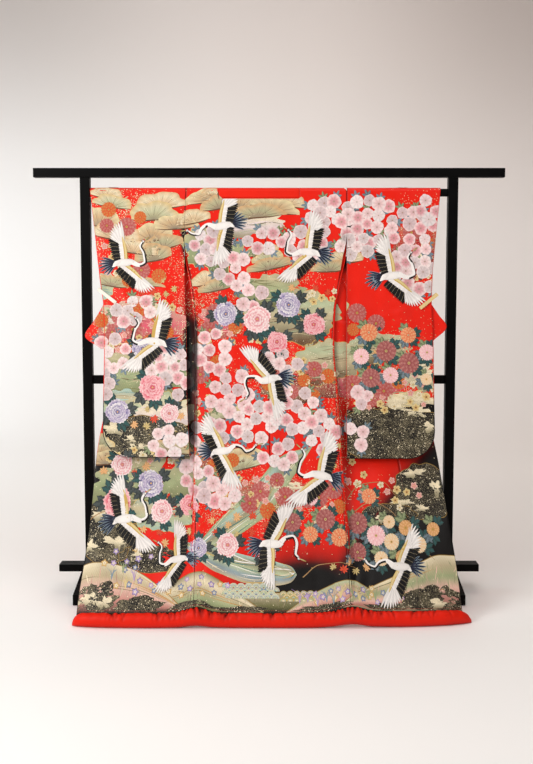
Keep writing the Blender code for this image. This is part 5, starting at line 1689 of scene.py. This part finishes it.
sprays = metres([  # x, height, half width, half tall, blossoms
    (225, 1475, 95, 60, 12), (385, 1440, 110, 85, 21), (545, 1405, 85, 95, 15), (330, 1350, 60, 45, 7),
    (575, 1240, 60, 75, 10), (470, 1280, 55, 50, 7), (150, 1365, 80, 65, 11), (-225, 1350, 70, 65, 10),
    (-130, 1250, 60, 55, 8), (-20, 1370, 70, 50, 8), (-215, 940, 65, 85, 13), (-150, 800, 80, 75, 15),
    (-50, 690, 90, 65, 14), (90, 730, 90, 75, 16), (205, 650, 55, 70, 9), (-225, 640, 60, 65, 10),
    (-370, 615, 80, 45, 7), (-275, 500, 60, 65, 10), (-180, 435, 60, 45, 7), (-350, 855, 40, 90, 7),
    (-415, 905, 60, 70, 9), (50, 905, 65, 50, 7), (-590, 950, 55, 70, 7), (350, 765, 35, 35, 3),
    (605, 1480, 35, 45, 4), (40, 570, 65, 45, 6), (-530, 1105, 100, 45, 7), (-640, 830, 40, 60, 5),
    (-60, 1150, 50, 40, 4), (330, 640, 30, 60, 3),
])
sprayHues = ((1.0, 0.95, 0.96), (1.0, 1.0, 1.0), (0.93, 0.9, 0.92), (1.0, 0.9, 0.92))
for x, z, wide, tall, count in sprays:
    spots = scatter(x, z, wide, tall, count, 0.0375)
    hue = np.array(sprayHues[int(draw.integers(len(sprayHues)))])
    for sx, sz in spots:
        if draw.uniform() < 0.85:
            turn = math.atan2(sz - z, sx - x) + draw.uniform(-0.5, 0.5)
            dx, dz = 0.019 * heading(turn)
            place(cherryLeaf[int(draw.integers(3))], sx + dx, sz + dz, turn=turn, level=13.5)
    for sx, sz in spots:
        pick = blossoms[int(draw.integers(len(blossoms)))]
        size, turn = draw.uniform(0.84, 1.1), draw.uniform(0, 6.28)
        place(pick, sx, sz, size, turn, tone=draw.uniform(0.88, 0.98) * hue)
print("blossoms laid")


def flowers(spots, kinds, leaves, reach):  # big flowers over a ruff of leaves: x, height, size, which
    for x, z, size, kind in metres(spots, 2):
        for k in range(4):
            turn = draw.uniform(0, 1.2) + 1.57 * k
            dx, dz = reach * size * heading(turn)
            place(leaves[k % len(leaves)], x + dx, z + dz, size, turn, level=13.5 + 0.4 * k)
        place(kinds[kind], x, z, size=size, turn=draw.uniform(0, 6.28))


peonies = {
    "pink": peony(peonyLook, *shades("rose pink blush"), 1),
    "soft": peony(peonyLook, inks["rose"] * 0.6 + inks["pink"] * 0.4, *shades("blush white"), 2),
    "lilac": peony(peonyLook, *shades("violet lilac white"), 3),
}
flowers([
    (-440, 815, 1.05, "pink"), (-570, 725, 0.95, "lilac"), (-375, 720, 0.75, "soft"),
    (75, 1125, 1.0, "lilac"), (-45, 1070, 1.1, "soft"), (170, 1050, 0.9, "pink"),
    (-165, 1090, 0.95, "lilac"), (30, 985, 0.85, "pink"), (-560, 400, 1.1, "pink"),
    (-440, 465, 1.0, "lilac"), (-395, 370, 0.85, "soft"), (-295, 390, 0.75, "pink"),
    (-550, 530, 0.85, "soft"), (-150, 265, 0.85, "soft"), (-10, 240, 0.7, "pink"),
    (-480, 960, 0.85, "lilac"), (-255, 255, 0.7, "lilac"),
], peonies, darkLeaf, 0.036)
mums = {
    "crimson": chrysanthemum(0.036, *shades("wine plum dustyRose paleGold")),
    "orange": chrysanthemum(0.034, *shades("crimson orange*0.9 apricot cream")),
    "pink": chrysanthemum(0.034, *shades("rose pink blush paleGold")),
    "cream": chrysanthemum(0.028, *shades("tan apricot cream gold")),
    "gold": chrysanthemum(0.026, *shades("brown ochre apricot gold")),
}
flowers([
    (380, 1020, 1.0, "orange"), (350, 930, 0.9, "pink"), (445, 950, 1.1, "crimson"),
    (530, 1010, 0.9, "orange"), (530, 905, 1.1, "crimson"), (600, 945, 0.9, "pink"), (460, 860, 0.9, "pink"),
    (385, 850, 1.0, "crimson"), (595, 845, 0.8, "cream"), (325, 330, 1.0, "crimson"),
    (255, 290, 0.9, "orange"), (390, 290, 1.0, "pink"), (205, 350, 1.0, "crimson"),
    (320, 235, 0.9, "crimson"), (445, 270, 1.0, "cream"), (500, 315, 1.0, "gold"), (405, 215, 0.9, "cream"),
    (545, 260, 1.0, "cream"), (480, 220, 0.9, "gold"), (150, 300, 0.8, "orange"), (600, 310, 0.9, "gold"),
    (370, 420, 0.8, "orange"), (85, 340, 0.9, "crimson"), (440, 335, 0.8, "cream"), (155, 420, 0.7, "pink"),
], mums, mumLeaf, 0.026)
print("large flowers laid")

bells = [bellflower(0.012, *shades("lilac violet")), bellflower(0.0125, *shades("paleGold ochre")),
         bellflower(0.011, *shades("blueGrey violet")), bellflower(0.011, *shades("lilac*1.1 lilac*0.8"))]
bellFields = metres([  # x, height, half width, half tall, how many
    (-520, 215, 100, 35, 9), (-280, 125, 140, 35, 15), (250, 95, 120, 22, 12), (400, 95, 80, 25, 9),
    (-480, 140, 70, 30, 5),
])
for x, z, wide, tall, count in bellFields:
    for k, (sx, sz) in enumerate(scatter(x, z, wide, tall, count, 0.026)):
        size, turn = draw.uniform(0.85, 1.15), draw.uniform(0, 6.28)
        place(bells[k % 4], sx, sz, size, turn, level=13 + 0.3 * (k % 2))
tufts = scatter(0.3, 0.078, 0.2, 0.012, 12, 0.024) + scatter(-0.5, 0.15, 0.08, 0.03, 4, 0.03)
for k, (sx, sz) in enumerate(tufts):
    place(grass(9, 0.05, shades("sage paleGold blueGrey lilac")[k % 4], 70 + k), sx, sz, level=12.5)
twigs = [
    [(300, 360), (380, 400), (450, 370), (500, 300)], [(380, 220), (460, 260), (540, 250), (600, 210)],
    [(280, 400), (340, 460), (420, 470), (470, 420)], [(-680, 330), (-600, 370), (-520, 350), (-470, 290)],
    [(120, 160), (180, 200), (250, 205), (310, 180)], [(100, 400), (170, 460), (260, 470), (310, 430)],
]
for line in twigs:
    place(twig(metres(line), 0.0034, inks["tan"]), 0.0, 0.0, level=14)

cranes = {name: crane(pose) for name, pose in cranePoses.items()}
craneSpots = metres([  # x, height, size, turn, facing left, pose
    (-555, 1285, 0.95, 0.1, False, "glide"), (-435, 985, 1.0, -0.15, True, "glide"),
    (-180, 1425, 0.95, 0.2, True, "climb"), (150, 1325, 0.98, -0.1, True, "glide"),
    (470, 1235, 1.0, 0.15, False, "glide"), (0, 845, 0.98, 0.25, True, "bank"),
    (-175, 585, 0.9, 0.1, False, "climb"), (190, 500, 0.98, -0.2, True, "glide"),
    (-530, 345, 0.95, 0.15, False, "glide"), (10, 270, 0.95, -0.05, False, "bank"),
    (470, 190, 0.9, -0.1, True, "climb"), (-330, 215, 0.78, 0.1, True, "glide"),
], 2)
for x, z, size, turn, left, pose in craneSpots:
    place(cranes[pose], x, z, size=size, turn=turn, flip=left)
print("cranes laid")

farSprays = [  # blossoms carried over the rail to the sleeves' far sides and the shoulders
    ("sleeveLeft", -0.5, 0.1, 12), ("sleeveLeft", -0.42, 0.42, 12), ("sleeveLeft", -0.52, 0.74, 10),
    ("sleeveRight", 0.48, 0.09, 14), ("sleeveRight", 0.4, 0.36, 10), ("sleeveRight", 0.54, 0.62, 12),
    ("sleeveRight", 0.42, 0.82, 8), ("backLeft", -0.26, 0.06, 5), ("backRight", 0.21, 0.06, 8),
]
for name, x, down, count in farSprays:
    for _ in range(count):
        sx, sz = x + draw.normal(0, 0.055), farStart + down + draw.normal(0, 0.055)
        if draw.uniform() < 0.5:
            leaf = cherryLeaf[int(draw.integers(3))]
            place(leaf, sx + 0.015, sz, turn=draw.uniform(0, 6.28), level=11, only=name)
        pick = blossoms[int(draw.integers(6))]
        place(pick, sx, sz, draw.uniform(0.9, 1.1), draw.uniform(0, 6.28), only=name)
farCranes = [
    ("sleeveLeft", -0.5, 0.28, "glide"), ("sleeveRight", 0.5, 0.24, "climb"),
    ("sleeveLeft", -0.44, 0.6, "bank"), ("sleeveRight", 0.44, 0.5, "glide"),
]
for name, x, down, pose in farCranes:
    place(cranes[pose], x, farStart + down, turn=math.pi + 0.2, flip=x > 0, only=name)
for name, x in (("sleeveLeft", -0.46), ("sleeveRight", 0.46)):
    night = cloudBlob(0.46, 0.2, 9, zoneInks["night"], 0.45, 0.05, "gold")
    place(night, x, farStart + 0.93, level=1, only=name)

artPieces = {}
for name, panel in panels.items():
    if not panel["faces"]:
        continue
    points, tints, gold = (np.concatenate(panel[key]) for key in ("points", "tints", "gold"))
    item = linkMesh("needlework" + name[0].upper() + name[1:], points, panel["faces"])
    paint(item, tints, gold)
    item.data.materials.append(needlework)
    artPieces.setdefault(panel["piece"], []).append(item)
print("needlework:", {i.name: len(i.data.polygons) for group in artPieces.values() for i in group},
      "highest", round(max(row[3] for row in laidDown), 5))

# hand stitches along the hem and below the collar, laid by a node tree

stitchLook = {
    "Spacing": 0.0062, "Stitch Length": 0.0036, "Thread Radius": 0.00042, "Unevenness": 0.16, "Seed": 7,
}
stitchRows = {"hem": 0.0565, "neck": 1.5255, "offHem": 0.0036, "offNeck": 0.0021, "step": 0.004}


def stitchTree(look, material):  # resampled path, one small stitch on each point
    tree = bpy.data.node_groups.new("handStitches", "GeometryNodeTree")
    face = tree.interface
    face.new_socket("Geometry", in_out="INPUT", socket_type="NodeSocketGeometry")
    sockets = {}
    for key, value in look.items():
        kind = "NodeSocketInt" if isinstance(value, int) else "NodeSocketFloat"
        socket = face.new_socket(key, in_out="INPUT", socket_type=kind)
        socket.default_value = value
        sockets[key] = socket.identifier
    face.new_socket("Geometry", in_out="OUTPUT", socket_type="NodeSocketGeometry")
    n = Nodes(tree)
    given = n.add("NodeGroupInput", {})
    path = n.add("GeometryNodeMeshToCurve", {"Mesh": given["Geometry"]})[0]
    spaced = n.add("GeometryNodeResampleCurve", {"Curve": path, "Length": given["Spacing"]}, mode="LENGTH")[0]
    bead = n.add("GeometryNodeMeshUVSphere", {"Segments": 8, "Rings": 6, "Radius": 1.0})["Mesh"]
    thin, half = given["Thread Radius"], n.maths("MULTIPLY", given["Stitch Length"], 0.5)
    size = n.add("ShaderNodeCombineXYZ", {"X": half, "Y": thin, "Z": thin})[0]
    stitch = n.add("GeometryNodeTransform", {"Geometry": bead, "Scale": size})[0]
    tangent = n.add("GeometryNodeInputTangent", {})[0]
    along = n.add("FunctionNodeAlignRotationToVector", {"Vector": tangent}, axis="X")[0]
    limits = {2: n.maths("SUBTRACT", 0.0, given["Unevenness"]), 3: given["Unevenness"], "Seed": given["Seed"]}
    wobble = n.add("FunctionNodeRandomValue", limits, data_type="FLOAT")[1]
    tilt = n.add("ShaderNodeCombineXYZ", {"Y": wobble})[0]
    turn = {"Rotation": along, "Rotate By": tilt}
    turned = n.add("FunctionNodeRotateRotation", turn, rotation_space="LOCAL")[0]
    spots = {"Points": spaced, "Instance": stitch, "Rotation": turned}
    laid = n.add("GeometryNodeInstanceOnPoints", spots)[0]
    whole = n.add("GeometryNodeRealizeInstances", {"Geometry": laid})[0]
    smoothed = n.add("GeometryNodeSetShadeSmooth", {"Geometry": whole})[0]
    done = n.add("GeometryNodeSetMaterial", {"Geometry": smoothed, "Material": material})[0]
    tree.links.new(done, tree.nodes.new("NodeGroupOutput").inputs[0])
    return tree, sockets


def grownMesh(name, runs, tree, sockets, look):  # paths through a node tree, turned into a plain mesh
    edges, first = [], 0
    for run in runs:
        edges += [(first + k, first + k + 1) for k in range(len(run) - 1)]
        first += len(run)
    item = linkMesh(name, np.concatenate(runs), [], edges)
    grower = item.modifiers.new("grower", "NODES")
    grower.node_group = tree
    for key, value in look.items():
        grower[sockets[key]] = value
    grown = bpy.data.meshes.new_from_object(item.evaluated_get(bpy.context.evaluated_depsgraph_get()))
    item.modifiers.clear()
    item.data = grown
    return item


def stitchRuns(rows):  # points on the cloth: along the hem, and on the neck seam
    runs = []
    for side in bothSides:
        for name in ("back", "front", "okumi"):
            panel = panels[name + side.title()]
            x = sign[side] * np.arange(0.0, 0.72, rows["step"])
            t = np.full(len(x), rows["hem"])
            inside = np.abs(panel["keepIn"](x, t)[0] - x) < laying["same"]
            if inside.sum() > 3:
                runs.append(panel["lay"](x[inside], t[inside], rows["offHem"]))
        x = sign[side] * np.arange(0.004, front["neckEdge"][side], rows["step"])
        runs.append(hung(x, nearDepth(rows["neck"]) - rows["offNeck"], np.full(len(x), rows["neck"])))
    return runs


stitches, stitchSockets = stitchTree(stitchLook, lining)
handStitches = grownMesh("handStitches", stitchRuns(stitchRows), stitches, stitchSockets, stitchLook)
print("hand stitches:", len(handStitches.data.polygons))

# hem roll

rollLook = {
    "sections": 640, "sides": 32, "flatStart": 1.035, "wrinkle": 0.0062, "narrow": 0.003, "wide": 0.0062,
    "creaseShade": 0.62, "undersideShade": 0.45, "nips": (-0.255, 0.292), "seed": 4,
}


def hemRoll(look):  # wadded edge of the lining, gathered where the side seams nip it up; painted shade in its wrinkles and underneath
    draw = np.random.default_rng(look["seed"])
    x = np.linspace(rollRows["x"][0], rollRows["x"][-1], look["sections"])[:, None]
    start, end, count = x[0, 0], x[-1, 0], look["sides"]
    ends = smooth((x - start) / 0.05) * smooth((end - x) / 0.05)
    angle = 2 * np.pi * np.arange(count) / count
    sine, cosine = np.sin(angle), np.cos(angle)
    radius = rollLine["radius"](x)
    wrinkles = []
    for nip in look["nips"]:
        for k in range(9):
            for side in (-1, 1):
                away = 0.006 + 0.016 * k + draw.uniform(0, 0.006)
                wrinkles.append((nip + side * away, 1.0 / (1 + 0.22 * k)))
    wrinkles += [(draw.uniform(start + 0.05, end - 0.05), draw.uniform(0.25, 0.7)) for _ in range(38)]
    push = np.zeros((len(x), count))
    upper = np.clip(0.5 - 0.75 * np.cos(angle - 0.5), 0.0, 1.0)
    for at, strength in wrinkles:
        slant = draw.uniform(-0.012, 0.012)
        width = draw.uniform(look["narrow"], look["wide"])
        push -= look["wrinkle"] * strength * np.exp(-(((x - at - slant * sine) / width) ** 2)) * upper
    push += 0.0007 * np.sin(x * 160 + 2.0 * np.sin(angle * 2)) * upper
    push = push * ends
    y = standPlane + rollLine["y"](x) - (radius + push) * sine
    height = radius * rollFlat * np.clip(1.0 - look["flatStart"] * cosine, 0.0, 2.0)
    z = rollLine["lift"](x) + height + push * rollFlat * np.clip(-cosine, 0.0, 1.0)
    points = np.stack([np.broadcast_to(x, y.shape), y, z], -1)
    index = np.arange(y.size).reshape(-1, count)
    faces = quadsOf(index, True).reshape(-1, 4).tolist() + [index[0][::-1].tolist(), index[-1].tolist()]
    item = linkMesh("hemRoll", points.reshape(-1, 3), faces)
    build = bmesh.new()
    build.from_mesh(item.data)
    bmesh.ops.recalc_face_normals(build, faces=build.faces)
    build.to_mesh(item.data)
    build.free()
    # painted shade: darker in the wrinkle creases and on the underside of the roll
    under = look["undersideShade"] * np.clip(cosine, 0.0, 1.0) ** 2
    deep = np.clip(-push / look["wrinkle"] * look["creaseShade"] + under, 0.0, 0.8)
    paint(item, np.ones((deep.size, 3)), np.zeros(deep.size), deep.ravel())
    item.data.materials.append(lining)
    item.data.shade_smooth()
    return item


roll = hemRoll(rollLook)
print("hem roll:", len(roll.data.polygons))

# room, light and camera

stageLook = {
    "wallY": 6.2, "bend": 2.4, "front": 9.0, "side": 12.0, "ceiling": 7.0,
    # high and corner are painted shade up the wall and towards its sides; rise and aside say where it sets in
    "paper": (0.935, 0.925, 0.915), "high": (0.8, 0.755, 0.73), "corner": (0.62, 0.575, 0.55),
    "rise": (1.2, 4.0), "aside": (0.3, 2.5), "sky": (0.67, 0.61, 0.573), "skyStrength": 0.4,
}
lampLook = {  # place, aim, size, power, colour
    "key": ((-2.9, -3.2, 2.35), (-0.7, 0.0, 1.35), 2.4, 147.8, (1.0, 0.986, 0.959)),
    "fill": ((3.0, -4.4, 1.7), (0.4, 0.0, 0.8), 3.0, 19.0, (1.0, 0.946, 0.909)),
    "top": ((0.4, -1.5, 3.6), (0.3, -1.0, 0.0), 2.6, 40.3, (1.0, 0.984, 0.958)),
    "wash": ((-4.6, 3.2, 1.4), (-2.3, 6.0, 0.9), 2.2, 58.0, (0.88, 0.955, 1.0)),
    "sweep": ((-4.4, 1.2, 2.2), (-1.9, 3.4, 0.0), 2.2, 45.0, (0.83, 0.965, 1.0)),
    "glow": ((4.6, 3.0, 1.2), (2.4, 6.0, 0.6), 2.2, 8.2, (1.0, 0.62, 0.54)),
    "back": ((0.5, 2.2, 4.6), (0.6, 5.6, 0.8), 3.0, 39.0, (1.0, 0.83, 0.757)),
    "floor": ((0.4, 2.6, 4.4), (0.4, 2.0, 0.0), 3.0, 26.5, (1.0, 0.89, 0.74)),
}


def paperSweep(look):  # floor that bends up into the wall, with painted shade darkening it up the wall and towards both sides
    bend, start = look["bend"], look["wallY"] - look["bend"]
    profile = [(-look["front"], 0.0), (-2.0, 0.0), (0.0, 0.0), (start, 0.0)]
    for k in range(1, 25):
        a = math.pi / 2 * k / 24
        profile.append((start + bend * math.sin(a), bend * (1 - math.cos(a))))
    profile.append((look["wallY"], look["ceiling"]))
    points = np.array([(x, y, z) for y, z in profile for x in (-look["side"], look["side"])])
    faces = [(2 * k, 2 * k + 1, 2 * k + 3, 2 * k + 2) for k in range(len(profile) - 1)]
    item = linkMesh("paperSweep", points, faces)
    item.data.shade_smooth()
    material, n, shader = newMaterial("backdropPaper")
    place = n.place()
    paper = np.array(look["paper"])
    tone = n.mix(n.noise(place, 0.8, 2.0), rgba(paper * 0.985), rgba(paper * 1.01))
    spot = n.add("ShaderNodeSeparateXYZ", {"Vector": place})
    # painted shade: up the wall the paper darkens to 'high', and further to 'corner' towards the sides
    corner = n.remap(n.maths("ABSOLUTE", spot["X"]), 0.0, 1.0, *look["aside"], "SMOOTHSTEP")
    upper = n.mix(corner, rgba(look["high"]), rgba(look["corner"]))
    rise = n.remap(spot["Z"], 0.0, 1.0, *look["rise"], "SMOOTHSTEP")
    n.fill(shader, {"Base Color": n.mix(rise, tone, upper), "Roughness": 0.85, "Specular IOR Level": 0.2})
    item.data.materials.append(material)


def softLight(name, at, aim, size, power, colour):
    lamp = linked(name, bpy.data.lights.new(name, "AREA"))
    lamp.data.shape = "DISK"
    lamp.data.size = size
    lamp.data.energy = power
    lamp.data.color = colour
    lamp.location = at
    lamp.rotation_euler = (Vector(aim) - Vector(at)).to_track_quat("-Z", "Y").to_euler()


paperSweep(stageLook)
for lampName, values in lampLook.items():
    softLight(lampName + "Light", *values)
world = bpy.data.worlds.new("studioAir")
scene.world = world
world.use_nodes = True
world.node_tree.nodes["Background"].inputs["Color"].default_value = (*stageLook["sky"], 1.0)
world.node_tree.nodes["Background"].inputs["Strength"].default_value = stageLook["skyStrength"]
scene.view_settings.view_transform = "Standard"

cameraLook = {"at": (-0.0098, -3.9779, 1.2103), "downDegrees": 5.37, "lens": 50.0, "longSide": 36.0}
camera = linked("studioCamera", bpy.data.cameras.new("studioCamera"))
camera.location = cameraLook["at"]
camera.rotation_euler = (math.radians(90.0 - cameraLook["downDegrees"]), 0.0, 0.0)
camera.data.lens = cameraLook["lens"]
camera.data.sensor_width = cameraLook["longSide"]
scene.camera = camera
print("room, lights and camera ready")

# which solid every piece stands for, and what it rides on

cuts = {  # piece: node, width, length
    "bodyLeft": ("body_left", 0.36, 3.4), "bodyRight": ("body_right", 0.36, 3.4),
    "okumiLeft": ("okumi_left", 0.15, 1.3), "okumiRight": ("okumi_right", 0.15, 1.3),
    "sleeveLeft": ("sleeve_left", 0.36, 2.1), "sleeveRight": ("sleeve_right", 0.36, 2.1),
    "sleeveTuckLeft": ("sleeve_tuck_left", 0.1, 0.17), "sleeveTuckRight": ("sleeve_tuck_right", 0.09, 0.14),
    "collarBand": ("collar", 0.075, 2.1),
}
for name, (node, width, length) in cuts.items():
    item = madePieces[name]
    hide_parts(node)
    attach(item, "root")
    for art in artPieces.get(name, []):
        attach(art, "root")
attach(handStitches, "root")
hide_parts("hem_roll")
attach(roll, "root")
